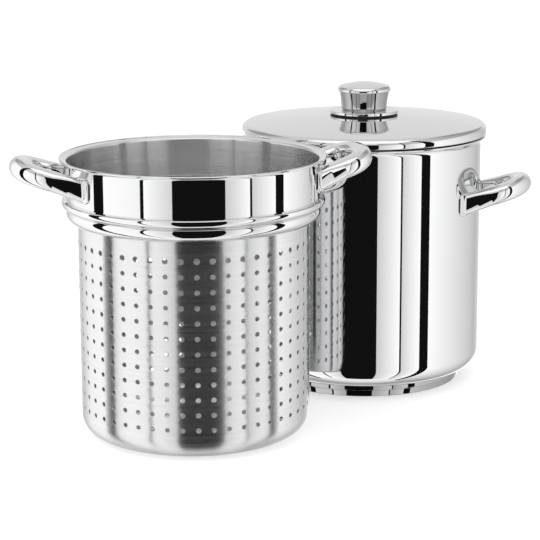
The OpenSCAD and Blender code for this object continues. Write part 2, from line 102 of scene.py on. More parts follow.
class Shader:
    """The node tree of one material, with short ways to add nodes and to join them."""

    def __init__(self, name: str) -> None:
        """Makes an empty material with a surface output.

        Args:
            name: The material's name.
        """
        self.material = bpy.data.materials.new(name)
        self.material.use_nodes = True
        self.tree = self.material.node_tree
        self.tree.nodes.clear()
        self.output = self.tree.nodes.new("ShaderNodeOutputMaterial")

    def add(self, kind: str, **settings: object) -> bpy.types.Node:
        """Adds a node and sets its own settings.

        Args:
            kind: The node's type, without the prefix that shader nodes share.
            **settings: Settings of the node, such as an operation.

        Returns:
            The new node.
        """
        node = self.tree.nodes.new("ShaderNode" + kind)
        for name, value in settings.items():
            setattr(node, name, value)
        return node

    def join(self, socket: bpy.types.NodeSocket, value: object) -> None:
        """Joins another socket to an input, or sets the input to a constant.

        Args:
            socket: The input.
            value: The socket to join, or the constant.
        """
        if isinstance(value, bpy.types.NodeSocket):
            self.tree.links.new(value, socket)
        else:
            socket.default_value = value

    def feed(self, node: bpy.types.Node, **inputs: object) -> bpy.types.Node:
        """Sets or joins a node's inputs, where a name has low lines for its spaces.

        Args:
            node: The node to feed.
            **inputs: For each input a socket to join, or a constant to set.

        Returns:
            The same node.
        """
        for name, value in inputs.items():
            self.join(node.inputs[name.replace("_", " ")], value)
        return node

    def step(self, kind: str, operation: str, *terms: object) -> bpy.types.Node:
        """Adds a step of arithmetic.

        Args:
            kind: Math for numbers, or VectorMath for vectors.
            operation: The operation's name.
            *terms: A socket or a constant for each term.

        Returns:
            The new node.
        """
        node = self.add(kind, operation=operation)
        for socket, term in zip(node.inputs, terms):
            self.join(socket, term)
        return node

    def maths(self, operation: str, *terms: object) -> bpy.types.NodeSocket:
        """Adds a step of arithmetic with numbers, and gives the socket with its result."""
        return self.step("Math", operation, *terms).outputs[0]

    def vector(self, operation: str, *terms: object) -> bpy.types.NodeSocket:
        """Adds a step of arithmetic with vectors, and gives the socket with its result."""
        node = self.step("VectorMath", operation, *terms)
        return node.outputs["Value" if operation == "LENGTH" else "Vector"]

    def scaled(self, colour: Colour, share: bpy.types.NodeSocket) -> bpy.types.NodeSocket:
        """Makes a colour lighter or darker by a share, and gives the socket with the result."""
        return self.feed(self.step("VectorMath", "SCALE", colour), Scale=share).outputs["Vector"]

    def spread(self, value: bpy.types.NodeSocket, low: float, high: float) -> bpy.types.NodeSocket:
        """Stretches a value so that 0 becomes low and 1 becomes high, and gives its socket."""
        node = self.feed(self.add("MapRange"), Value=value, To_Min=low, To_Max=high)
        return node.outputs[0]

    def own_place(self) -> bpy.types.NodeSocket:
        """Gives the place on the object, counted from its origin."""
        return self.add("TexCoord").outputs["Object"]

    def place(self, centre: Vector) -> bpy.types.NodeSocket:
        """Gives the socket with the place on the object, counted from an upright axis at the centre."""
        shift = (-centre.x, -centre.y, 0.0)
        return self.feed(self.add("Mapping"), Vector=self.own_place(), Location=shift).outputs[0]

    def noise(
        self, place: bpy.types.NodeSocket, scale: float, detail: float, roughness: float = 0.5
    ) -> bpy.types.NodeSocket:
        """Adds soft noise of so many repeats in a metre and so many finer layers, and gives its socket."""
        node = self.feed(self.add("TexNoise"), Vector=place, Scale=scale, Detail=detail, Roughness=roughness)
        return node.outputs[0]

    def round_streaks(self, place: bpy.types.NodeSocket, streaks: Streaks) -> bpy.types.NodeSocket:
        """Adds noise drawn out into rings round the axis, on a wall and on a flat disc alike.

        Args:
            place: The socket with the place, counted from the axis.
            streaks: How long and how fine the rings are.

        Returns:
            The socket with the noise.
        """
        parts = self.feed(self.add("SeparateXYZ"), Vector=place).outputs
        flat = self.feed(self.add("CombineXYZ"), X=parts[0], Y=parts[1]).outputs[0]
        outwards = self.maths("ADD", self.vector("LENGTH", flat), parts[2])
        drawn = self.feed(
            self.add("CombineXYZ"),
            X=self.maths("MULTIPLY", parts[0], streaks.along),
            Y=self.maths("MULTIPLY", parts[1], streaks.along),
            Z=self.maths("MULTIPLY", outwards, streaks.across),
        )
        return self.noise(drawn.outputs[0], 1.0, streaks.detail, streaks.roughness)

    def bump(self, height: bpy.types.NodeSocket, distance: float) -> bpy.types.NodeSocket:
        """Tilts the surface by a height, of which 1 stands this far up, and gives the normal's socket."""
        return self.feed(self.add("Bump"), Height=height, Distance=distance).outputs[0]

    def metal(
        self, colour: object, roughness: bpy.types.NodeSocket, normal: bpy.types.NodeSocket
    ) -> bpy.types.Node:
        """Adds a bare metal surface, from a socket or a constant for each of its looks."""
        return self.feed(
            self.add("BsdfPrincipled"), Base_Color=colour, Metallic=1.0, Roughness=roughness, Normal=normal)

    def close(self, surface: bpy.types.Node, *others: bpy.types.Node) -> bpy.types.Material:
        """Joins the surface to the output, with the light of any others added to it.

        Args:
            surface: The node whose first output is the surface.
            *others: Nodes of more surfaces.

        Returns:
            The finished material.
        """
        for other in others:
            both = self.add("AddShader")
            self.join(both.inputs[0], surface.outputs[0])
            self.join(both.inputs[1], other.outputs[0])
            surface = both
        self.join(self.output.inputs["Surface"], surface.outputs[0])
        return self.material


@dataclass(frozen=True)
class PolishedSteel:
    """Steel buffed to a mirror, with the slight waviness of drawn sheet and faint haze."""

    name: str
    centre: Vector
    tone: Colour = (0.72, 0.722, 0.727)
    roughness: float = 0.02
    haze: float = 0.035
    rings: Streaks = Streaks(9.0, 900.0, 2.0)
    patch_scale: float = 14.0
    patch_detail: float = 3.0
    wave_scale: float = 22.0
    wave_detail: float = 1.0
    wave_height: float = 0.000012

    def material(self) -> bpy.types.Material:
        """Builds the material."""
        shader = Shader(self.name)
        place = shader.place(self.centre)
        rings = shader.round_streaks(place, self.rings)
        patches = shader.noise(place, self.patch_scale, self.patch_detail)
        haze = shader.maths("MULTIPLY", rings, patches)
        waves = shader.noise(place, self.wave_scale, self.wave_detail)
        roughness = shader.spread(haze, self.roughness, self.haze)
        relief = shader.bump(waves, self.wave_height)
        return shader.close(shader.metal((*self.tone, 1.0), roughness, relief))


@dataclass(frozen=True)
class SatinSteel:
    """Steel brushed round its axis, so that its fine grain runs level and draws reflections out upright."""

    name: str
    centre: Vector
    tone: Colour = (0.69, 0.692, 0.697)
    dark_streak: float = 0.92
    roughness: float = 0.2
    roughness_spread: float = 0.05
    drawn_out: float = 0.85
    fine: Streaks = Streaks(14.0, 2600.0, 3.0)
    broad: Streaks = Streaks(6.0, 800.0, 2.0)
    fine_share: float = 0.45
    grain_height: float = 0.0000008
    stray: float = 0.014
    stray_streak: float = 4.0

    def material(self) -> bpy.types.Material:
        """Builds the material."""
        shader = Shader(self.name)
        place = shader.place(self.centre)
        fine = shader.round_streaks(place, self.fine)
        broad = shader.round_streaks(place, self.broad)
        grain = shader.maths(
            "ADD", shader.maths("MULTIPLY", fine, self.fine_share),
            shader.maths("MULTIPLY", broad, 1 - self.fine_share),
        )
        colour = shader.scaled(self.tone, shader.spread(grain, self.dark_streak, 2.0 - self.dark_streak))
        rough = shader.spread(grain, self.roughness, self.roughness + self.roughness_spread)
        # The tangent runs from the axis outwards on a disc, and upright on a wall
        round_axis = shader.vector("CROSS_PRODUCT", UP, place)
        normal = shader.add("NewGeometry").outputs["Normal"]
        tangent = shader.vector("NORMALIZE", shader.vector("CROSS_PRODUCT", round_axis, normal))
        surface = shader.metal(colour, rough, shader.bump(fine, self.grain_height))
        shader.feed(surface, Anisotropic=self.drawn_out, Tangent=tangent)
        streaky = shader.spread(grain, 1 - self.stray_streak, 1 + self.stray_streak)
        scatter = shader.scaled((self.stray, self.stray, self.stray), streaky)
        return shader.close(surface, shader.feed(shader.add("BsdfDiffuse"), Color=scatter))


@dataclass(frozen=True)
class CastAluminium:
    """Plain pressed aluminium, a little cloudy."""

    name: str = "pressed aluminium"
    tone: Colour = (0.62, 0.625, 0.63)
    roughness: float = 0.38
    roughness_spread: float = 0.15
    cloud_scale: float = 60.0
    cloud_detail: float = 4.0
    cloud_height: float = 0.00002

    def material(self) -> bpy.types.Material:
        """Builds the material."""
        shader = Shader(self.name)
        clouds = shader.noise(shader.own_place(), self.cloud_scale, self.cloud_detail)
        roughness = shader.spread(clouds, self.roughness, self.roughness + self.roughness_spread)
        relief = shader.bump(clouds, self.cloud_height)
        return shader.close(shader.metal((*self.tone, 1.0), roughness, relief))


@dataclass(frozen=True)
class BlackRubber:
    """Matt black silicone rubber with a faint bloom."""

    name: str = "black rubber"
    tone: Colour = (0.012, 0.012, 0.013)
    bloom: Colour = (0.024, 0.024, 0.025)
    roughness: float = 0.5
    speck_scale: float = 700.0
    speck_detail: float = 3.0
    speck_height: float = 0.00001

    def material(self) -> bpy.types.Material:
        """Builds the material."""
        shader = Shader(self.name)
        specks = shader.noise(shader.own_place(), self.speck_scale, self.speck_detail)
        mixed = shader.feed(shader.add("Mix", data_type="RGBA"), Factor=specks)
        shader.join(mixed.inputs[MIX_FIRST], (*self.tone, 1.0))
        shader.join(mixed.inputs[MIX_SECOND], (*self.bloom, 1.0))
        return shader.close(shader.feed(
            shader.add("BsdfPrincipled"), Base_Color=mixed.outputs[MIX_RESULT], Roughness=self.roughness,
            Normal=shader.bump(specks, self.speck_height),
        ))


# Shapes


class Profile:
    """A line in the plane of radius and height, that a round piece is turned from."""

    def __init__(self) -> None:
        """Starts with no points."""
        self.points: list[Point] = []

    def at(self, radius: float, height: float) -> "Profile":
        """Adds one point, at a distance from the axis and a height."""
        self.points.append((radius, height))
        return self

    def line(self, radius: float, height: float, ease: float = 0.0007) -> "Profile":
        """Adds a straight stretch, with a point close to each end so that it shades flat between them.

        Args:
            radius: Where it ends, from the axis.
            height: Where it ends, in height.
            ease: How far those points are from the ends.

        Returns:
            The profile itself.
        """
        start = Vector(self.points[-1])
        end = Vector((radius, height))
        length = (end - start).length
        if length > 3 * ease:
            step = (end - start) * (ease / length)
            self.points.append(tuple(start + step))
            self.points.append(tuple(end - step))
        self.points.append((radius, height))
        return self

    def arc(self, centre: Point, radius: float, start: float, end: float, steps: int) -> "Profile":
        """Adds a round stretch.

        Args:
            centre: The arc's centre.
            radius: The arc's radius.
            start: The angle that it starts at, in degrees, where 0 points outwards and 90 up.
            end: The angle that it ends at.
            steps: How many straight steps it has.

        Returns:
            The profile itself.
        """
        for i in range(steps + 1):
            a = math.radians(start + (end - start) * i / steps)
            self.points.append((centre[0] + radius * math.cos(a), centre[1] + radius * math.sin(a)))
        return self

    def foot_round(self, radius: float, height: float, edge: float, steps: int) -> "Profile":
        """Adds the quarter round between an underside at this height and a side at this radius."""
        return self.arc((radius - edge, height + edge), edge, -90, 0, steps)

    def top_round(self, radius: float, height: float, edge: float, steps: int) -> "Profile":
        """Adds the quarter round between a side at this radius and a top at this height."""
        return self.arc((radius - edge, height - edge), edge, 0, 90, steps)

    def join(self, other: "Profile") -> "Profile":
        """Adds another profile's points, last one first, to come back along it."""
        self.points.extend(reversed(other.points))
        return self


def added(name: str, data: bpy.types.ID) -> bpy.types.Object:
    """Adds an object to the scene.

    Args:
        name: Its name.
        data: Its mesh, lamp or camera.

    Returns:
        The new object.
    """
    made = bpy.data.objects.new(name, data)
    bpy.context.scene.collection.objects.link(made)
    return made


def meshed(name: str, bm: bmesh.types.BMesh, materials: Iterable[bpy.types.Material]) -> bpy.types.Object:
    """Adds an object made from a bmesh.

    Args:
        name: Its name.
        bm: Its shape, which is freed.
        materials: Its materials.

    Returns:
        The new object.
    """
    mesh = bpy.data.meshes.new(name)
    bm.to_mesh(mesh)
    bm.free()
    for material in materials:
        mesh.materials.append(material)
    return added(name, mesh)


@dataclass
class Piece:
    """One visible piece on its way from a bmesh to the scene."""

    name: str
    body: Body
    slot: Slot
    nodes: tuple[str, ...]
    materials: tuple[bpy.types.Material, ...]
    sharp: float = 32.0

    def place(self, bm: bmesh.types.BMesh) -> bpy.types.Object:
        """Turns the bmesh into an object that rides on its body and stands for its nodes.

        Args:
            bm: The shape, in the frame's own place. It is freed.

        Returns:
            The new object.
        """
        limit = math.radians(self.sharp)
        for edge in bm.edges:
            edge.smooth = len(edge.link_faces) == 2 and edge.calc_face_angle(0.0) < limit
        for face in bm.faces:
            face.smooth = True
        made = meshed(self.name, bm, self.materials)
        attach(made, self.body.value)
        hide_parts(*self.nodes)
        LOG.info("%s: %d faces on %s", self.name, len(made.data.polygons), self.body.value)
        return made

    def turn(self, profile: Profile, steps: int) -> None:
        """Turns a profile round the pot's axis and places the shape."""
        self.place(turned(profile, ORIGIN, steps))


def turned(profile: Profile, centre: Vector, steps: int) -> bmesh.types.BMesh:
    """Turns a profile round an upright axis into a closed shape.

    Args:
        profile: The line to turn. Where it starts and ends on the axis it is left open there.
        centre: A point on the axis.
        steps: How many steps a turn has.

    Returns:
        The shape, with its faces outwards.
    """
    bm = bmesh.new()
    verts = [bm.verts.new(centre + Vector((r, 0.0, z))) for r, z in profile.points]
    edges = [bm.edges.new(pair) for pair in zip(verts, verts[1:])]
    if max(profile.points[0][0], profile.points[-1][0]) > MERGE:
        edges.append(bm.edges.new((verts[-1], verts[0])))
    bmesh.ops.spin(
        bm, geom=verts + edges, cent=centre, axis=UP, dvec=ORIGIN, angle=math.tau, steps=steps,
        use_merge=True, use_normal_flip=False, use_duplicate=False,
    )
    bmesh.ops.remove_doubles(bm, verts=bm.verts, dist=MERGE)
    bmesh.ops.recalc_face_normals(bm, faces=bm.faces)
    return bm


def flat_sheet(
    bm: bmesh.types.BMesh, width: float, height: float, across: int, up: int
) -> list[bmesh.types.BMVert]:
    """Adds a flat rectangle round the origin.

    Args:
        bm: The bmesh to add it to.
        width: Its size along X.
        height: Its size along Y.
        across: How many faces it has along X.
        up: How many faces it has along Y.

    Returns:
        Its vertices.
    """
    made = bmesh.ops.create_grid(bm, x_segments=across, y_segments=up, size=0.5)["verts"]
    bmesh.ops.scale(bm, vec=(width, height, 1.0), verts=made)
    return made


def everything(bm: bmesh.types.BMesh) -> list:
    """Lists a bmesh's vertices, edges and faces."""
    return list(bm.verts) + list(bm.edges) + list(bm.faces)


def cut(bm: bmesh.types.BMesh, place: Place, normal: Place) -> None:
    """Cuts the faces that cross the plane through a place, square to a normal, and keeps both sides."""
    bmesh.ops.bisect_plane(bm, geom=everything(bm), dist=MERGE, plane_co=place, plane_no=normal)


def rounded(bm: bmesh.types.BMesh, geometry: list, radius: float, steps: int, affect: str) -> None:
    """Rounds corners, where affect is VERTICES, or edges, where it is EDGES."""
    bmesh.ops.bevel(
        bm, geom=geometry, offset=radius, offset_type="OFFSET", segments=steps, profile=0.5, affect=affect,
        material=-1, clamp_overlap=True,
    )


def on_circle(centre: Vector, radius: float, angle: float, height: float) -> Vector:
    """Gives the point at a radius, an angle and a height round an upright axis."""
    return centre + Vector((radius * math.cos(angle), radius * math.sin(angle), height))


def paint(bm: bmesh.types.BMesh, index: int, chosen: Callable[[bmesh.types.BMFace], bool]) -> None:
    """Gives some faces another of the piece's materials.

    Args:
        bm: The shape.
        index: The material's place in the piece's list.
        chosen: Says which faces get it.
    """
    for face in bm.faces:
        if chosen(face):
            face.material_index = index


@dataclass(frozen=True)
class FlaredRim:
    """Sheet that leaves a wall upwards, curls outwards, may run straight and ends in a round lip."""

    wall_r: float
    top: float
    reach: float
    turn: float
    sheet: float
    lip: float = 0.0011
    curl: float = 0.0

    @property
    def bend(self) -> float:
        """Radius of the curl to the middle of the sheet, which takes up the reach where none is given."""
        return self.curl or self.reach / (1 - math.cos(math.radians(self.turn)))

    @property
    def start(self) -> float:
        """Height at which the sheet leaves the wall."""
        turn = math.radians(self.turn)
        flat = (self.reach - self.bend * (1 - math.cos(turn))) / math.sin(turn)
        return self.top - self.lip - self.bend * math.sin(turn) - flat * math.cos(turn)

    def draw(self, profile: Profile) -> Profile:
        """Draws the rim from the outside of the wall to its inside.

        Args:
            profile: The profile, which has come up the outside of the wall.

        Returns:
            The same profile, at the top of the wall's inside.
        """
        mid = self.wall_r - self.sheet / 2
        centre = (mid + self.bend, self.start)
        half = self.sheet / 2
        back = 270 - self.turn
        notch = math.degrees(math.asin(half / self.lip))
        profile.line(self.wall_r, self.start)
        profile.arc(centre, self.bend - half, 180, 180 - self.turn, steps=12)
        edge = (mid + self.reach, self.top - self.lip)
        profile.arc(edge, self.lip, back + notch, back + 360 - notch, steps=18)
        profile.arc(centre, self.bend + half, 180 - self.turn, 180, steps=12)
        return profile


# Loop handles


@dataclass(frozen=True)
class LoopHandle:
    """A loop that leaves the wall on two legs, slopes up and closes in a broad round grip."""

    wall_r: float
    height: float
    reach: float = 0.041
    slope: float = math.radians(18.0)
    leg_span: float = 0.0385
    nose_span: float = 0.0305
    leg_share: float = 0.48
    nose_power: float = 2.3
    half_widths: tuple[float, float, float] = (0.005, 0.0096, 0.0088)
    half_heights: tuple[float, float, float] = (0.0086, 0.0086, 0.009)
    squareness: tuple[float, float, float] = (4.5, 2.6, 2.1)
    plate: float = 0.0016
    rings: int = 150
    sides: int = 96
    leg_rings: float = 0.2
    fillet: float = 0.0004
    fillet_share: float = 0.03
    seat_share: float = 0.08

    @property
    def root(self) -> float:
        """How far the wall falls back where the legs stand."""
        return self.wall_r - math.sqrt(self.wall_r ** 2 - self.leg_span ** 2)

    def centre(self, along: float) -> tuple[float, float, float]:
        """Gives the middle of the section at a place along the loop.

        Args:
            along: The place, from 0 at one foot to 1 at the other.

        Returns:
            Its reach from the wall, its place along the wall, and how far round the loop it is, from 0 at a
            foot through 1 at the shoulder to 2 at the middle of the nose.
        """
        whole = self.reach + self.root
        side = -1.0 if along < 0.5 else 1.0
        near = min(along, 1.0 - along)
        if near < self.leg_rings:
            f = near / self.leg_rings
            return -self.root + self.leg_share * whole * f, side * mix(self.leg_span, self.nose_span, f), f
        angle = (along - 0.5) / (0.5 - self.leg_rings) * math.pi / 2
        out = power(math.cos(angle), 2 / self.nose_power)
        reach = -self.root + whole * (self.leg_share + (1 - self.leg_share) * out)
        return reach, self.nose_span * power(math.sin(angle), 2 / self.nose_power), 1 + out

    def section(self, along: float, around: float) -> tuple[Vector, Vector]:
        """Gives a point of the loop's skin, on a handle that points along X from the axis.

        Args:
            along: The place along the loop, from 0 to 1.
            around: The place round the section, from 0 to 1.

        Returns:
            The point, and the way that the loop runs there.
        """
        step = 0.5 / self.rings
        x, y, f = self.centre(along)
        before = Vector(self.centre(max(along - step, 0.0))[:2])
        after = Vector(self.centre(min(along + step, 1.0))[:2])
        run = (after - before).normalized()
        half_w = between(f, self.half_widths) + self.swell(f)
        half_h = between(f, self.half_heights) + self.swell(f)
        exponent = between(f, self.squareness)
        c, s = math.cos(around * math.tau), math.sin(around * math.tau)
        bulge = (abs(c) ** exponent + abs(s) ** exponent) ** (-1 / exponent)
        across, up = half_w * c * bulge, half_h * s * bulge
        flat = Vector((x + run.y * across, y - run.x * across, up))
        return self.raised(flat), Vector((run.x * math.cos(self.slope), run.y, run.x * math.sin(self.slope)))

    def point(self, along: float, around: float) -> Vector:
        """Gives a point of the skin. A leg ends on its foot plate, and the rings near it are drawn there.

        Args:
            along: The place along the loop, from 0 to 1.
            around: The place round the section, from 0 to 1.

        Returns:
            The point.
        """
        skin = self.section(along, around)[0]
        share = 1 - min(along, 1.0 - along) / self.seat_share
        if share <= 0:
            return skin
        end, lean = self.section(0.0 if along < 0.5 else 1.0, around)
        return skin + (self.seated(end, lean) - end) * share

    def swell(self, f: float) -> float:
        """Gives how much the weld at the foot widens the leg, for a place f round the loop."""
        return self.fillet * max(0.0, 1 - f / self.fillet_share) ** 2

    def raised(self, flat: Vector) -> Vector:
        """Turns a point of the handle's own plane up by the slope, at its place outside the wall."""
        c, s = math.cos(self.slope), math.sin(self.slope)
        return Vector((self.wall_r + flat.x * c - flat.z * s, flat.y, self.height + flat.x * s + flat.z * c))

    def seated(self, start: Vector, lean: Vector) -> Vector:
        """Slides a point along its leg until it is on the round face of the foot plate.

        Args:
            start: The point.
            lean: The leg's direction.

        Returns:
            The point on the plate.
        """
        a = lean.x ** 2 + lean.y ** 2
        b = 2 * (start.x * lean.x + start.y * lean.y)
        c = start.x ** 2 + start.y ** 2 - (self.wall_r + self.plate) ** 2
        way = math.copysign(1.0, lean.x)
        return start + lean * ((-b + way * math.sqrt(b * b - 4 * a * c)) / (2 * a))

    def build(self, centre: Vector, turn: float) -> bmesh.types.BMesh:
        """Wraps a grid round the loop.

        Args:
            centre: A point on the vessel's axis.
            turn: The handle's turn from X.

        Returns:
            The shape, closed at both feet.
        """
        bm = bmesh.new()
        flat_sheet(bm, 1.0, 1.0, self.rings, self.sides)
        for vert in bm.verts:
            vert.co = self.point(snap(vert.co.x + 0.5), snap(vert.co.y + 0.5))
        bmesh.ops.remove_doubles(bm, verts=bm.verts, dist=MERGE)
        bmesh.ops.holes_fill(bm, edges=[e for e in bm.edges if e.is_boundary], sides=0)
        bmesh.ops.recalc_face_normals(bm, faces=bm.faces)
        place = Matrix.Translation(centre) @ Matrix.Rotation(turn, 4, "Z")
        bmesh.ops.transform(bm, verts=bm.verts, matrix=place)
        return bm


@dataclass(frozen=True)
class FootPlate:
    """A rounded plate of sheet, bent round the wall under one leg of a handle."""

    wall_r: float
    height: float
    angle: float
    thickness: float = 0.0016
    width: float = 0.024
    tall: float = 0.021
    corner: float = 0.006
    corner_steps: int = 8
    edge: float = 0.0009
    edge_steps: int = 5
    strips: int = 16

    def build(self, centre: Vector) -> bmesh.types.BMesh:
        """Rounds, thickens, slices and bends a flat plate.

        Args:
            centre: A point on the vessel's axis.

        Returns:
            The bent plate.
        """
        bm = bmesh.new()
        flat_sheet(bm, self.width, self.tall, 1, 1)
        rounded(bm, list(bm.verts), self.corner, self.corner_steps, "VERTICES")
        lifted = bmesh.ops.extrude_face_region(bm, geom=list(bm.faces))["geom"]
        top = [v for v in lifted if isinstance(v, bmesh.types.BMVert)]
        bmesh.ops.translate(bm, vec=(0.0, 0.0, self.thickness), verts=top)
        rim = [e for e in bm.edges if all(v in top for v in e.verts)]
        rounded(bm, rim, self.edge, self.edge_steps, "EDGES")
        for i in range(1, self.strips):
            cut(bm, (self.width * (i / self.strips - 0.5), 0.0, 0.0), (1.0, 0.0, 0.0))
        for vert in bm.verts:
            angle = self.angle + vert.co.x / self.wall_r
            vert.co = on_circle(centre, self.wall_r + vert.co.z, angle, self.height + vert.co.y)
        bmesh.ops.recalc_face_normals(bm, faces=bm.faces)
        return bm


def mix(a: float, b: float, f: float) -> float:
    """Gives the value a share f of the way from a to b."""
    return a + (b - a) * f


def power(base: float, exponent: float) -> float:
    """Raises a number's size to a power and keeps its sign."""
    return math.copysign(abs(base) ** exponent, base)


def between(f: float, values: tuple[float, float, float]) -> float:
    """Gives the value at a place round the loop, between those at its foot, shoulder and nose."""
    return mix(values[0], values[1], f) if f < 1 else mix(values[1], values[2], f - 1)


def snap(share: float) -> float:
    """Puts a share that is all but 0 or 1 exactly there."""
    return round(share, 5)


@dataclass
class HandlePair:
    """The two loop handles of a vessel with their four foot plates."""

    vessel: str
    body: Body
    wall_r: float
    height: float
    centre: Vector
    turn: float
    metal: bpy.types.Material

    def build(self) -> None:
        """Builds the handles and their feet."""
        handle = LoopHandle(self.wall_r, self.height)
        foot_angle = math.asin(handle.leg_span / self.wall_r)
        foot_height = self.height - handle.root * math.sin(handle.slope)
        # The way round the vessel from a handle to its front foot differs between the right and the left
        for side, turn, front in (("right", 0.0, -1.0), ("left", math.pi, 1.0)):
            name = f"{self.vessel}_handle_{side}"
            loop = Piece(f"{name}_loop", self.body, Slot.POLISHED, (name,), (self.metal,), sharp=50.0)
            loop.place(handle.build(self.centre, self.turn + turn))
            for place, sign in (("front", front), ("back", -front)):
                node = f"{self.vessel}_foot_{side}_{place}"
                plate = FootPlate(self.wall_r, foot_height, self.turn + turn + sign * foot_angle)
                foot = Piece(f"{node}_plate", self.body, Slot.POLISHED, (node,), (self.metal,), sharp=40.0)
                foot.place(plate.build(self.centre))


# The pot


@dataclass
class Pot:
    """The deep pot with its flared rim, its disc base and its handles.

    Upwards and cap_under are how squarely a face has to look up within the pot, or down under its base, for
    the satin finish.
    """

    polished: bpy.types.Material
    # shaded is the pot's polished steel made darker as painted shade, for the base cap
    shaded: bpy.types.Material
    satin: bpy.types.Material
    core_metal: bpy.types.Material
    sheet: float = 0.0008
    corner: float = 0.0175
    corner_steps: int = 20
    flare: float = 0.0035
    flare_turn: float = 63.0
    upwards: float = 0.5
    cap_chamfer: float = 0.001
    cap_slant: float = 0.0012
    cap_crease_z: float = 0.0062
    cap_crease_r: float = 0.0932
    cap_rim_r: float = 0.0945
    crease_depth: float = 0.00022
    crease_half: float = 0.0004
    cap_sheet: float = 0.0008
    cap_hollow: float = 0.0004
    cap_under: float = 0.9
    rim_rounds: int = 20
    handle_height: float = 0.1773

    def __post_init__(self) -> None:
        """Takes the pot's outer sizes from the frame."""
        low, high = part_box("pot_shell")
        self.wall_r = high.x - FlaredRim.lip - self.flare + self.sheet / 2
        self.rim = FlaredRim(self.wall_r, high.z, self.flare, self.flare_turn, self.sheet)
        self.floor = low.z
        self.foot_r = self.cap_crease_r - self.cap_slant

    def build(self) -> None:
        """Builds every piece of the pot."""
        self.vessel()
        self.base_cap()
        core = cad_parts["pot_base_core"].data.materials
        core.clear()
        core.append(self.core_metal)
        HandlePair("pot", Body.POT, self.wall_r, self.handle_height, ORIGIN, 0.0, self.polished).build()

    def vessel(self) -> None:
        """Turns the drawn vessel, mirror bright outside and satin inside."""
        corner_r = self.wall_r - self.corner
        corner_z = self.floor + self.corner
        profile = Profile().at(0.0, self.floor).line(corner_r, self.floor)
        profile.arc((corner_r, corner_z), self.corner, -90, 0, self.corner_steps)
        self.rim.draw(profile)
        profile.line(self.wall_r - self.sheet, corner_z)
        profile.arc((corner_r, corner_z), self.corner - self.sheet, 0, -90, self.corner_steps)
        profile.line(0.0, self.floor + self.sheet)
        bm = turned(profile, ORIGIN, steps=256)
        paint(bm, 1, self.is_inside)
        Piece("pot_vessel", Body.POT, Slot.POLISHED, ("pot_shell",), (self.polished, self.satin)).place(bm)

    def is_inside(self, face: bmesh.types.BMFace) -> bool:
        """Says whether a face of the vessel is within its wall and looks inwards or up."""
        middle = face.calc_center_median()
        outwards = Vector((middle.x, middle.y, 0.0))
        inwards = face.normal.dot(outwards) < 0.0 or face.normal.z > self.upwards
        return inwards and math.hypot(*middle.xy) < self.wall_r - self.sheet / 2

    def base_cap(self) -> None:
        """Turns the cap of the base: a foot, a creased side and a rim that ends on the pot's corner."""
        slope = (self.cap_rim_r - self.cap_crease_r) / (self.floor + self.corner - self.cap_crease_z)
        rim_z = self.rim_height(slope)
        rim_r = self.cap_crease_r + slope * (rim_z - self.cap_crease_z)
        side = (self.cap_crease_r - self.foot_r) / (self.cap_crease_z - self.cap_chamfer)
        profile = Profile().at(0.0, 0.0).line(self.foot_r - self.cap_chamfer, 0.0)
        profile.foot_round(self.foot_r, 0.0, self.cap_chamfer, steps=6)
        profile.line(self.cap_crease_r - side * self.crease_half, self.cap_crease_z - self.crease_half, FINE)
        profile.arc((self.cap_crease_r, self.cap_crease_z), self.crease_depth, -105, -255, steps=6)
        profile.at(self.cap_crease_r + slope * self.crease_half, self.cap_crease_z + self.crease_half)
        profile.line(rim_r, rim_z - FINE, FINE)
        profile.top_round(rim_r, rim_z, FINE, steps=4)
        inside = Profile().at(0.0, self.cap_sheet)
        inside.line(self.foot_r - self.cap_sheet, self.cap_sheet)
        inside.line(rim_r - self.cap_sheet - self.cap_hollow, rim_z - 2 * FINE)
        profile.join(inside)
        bm = turned(profile, ORIGIN, steps=256)
        paint(bm, 1, lambda face: face.normal.z < -self.cap_under)
        # The cap's outside takes the darkened steel, painted shade for the floor's contact shadow that it
        # mirrors
        finishes = (self.shaded, self.satin)
        Piece("pot_base_cap_side", Body.POT, Slot.POLISHED, ("pot_base_cap",), finishes, sharp=24.0).place(bm)

    def rim_height(self, slope: float) -> float:
        """Gives the height at which the cap's side meets the pot's corner.

        Args:
            slope: How much the side widens with height.

        Returns:
            The height.
        """
        corner_r = self.wall_r - self.corner
        corner_z = self.floor + self.corner
        z = self.floor
        for _ in range(self.rim_rounds):
            r = self.cap_crease_r + slope * (z - self.cap_crease_z)
            z = corner_z - math.sqrt(self.corner ** 2 - (r - corner_r) ** 2)
        return z


# The lid and its knob


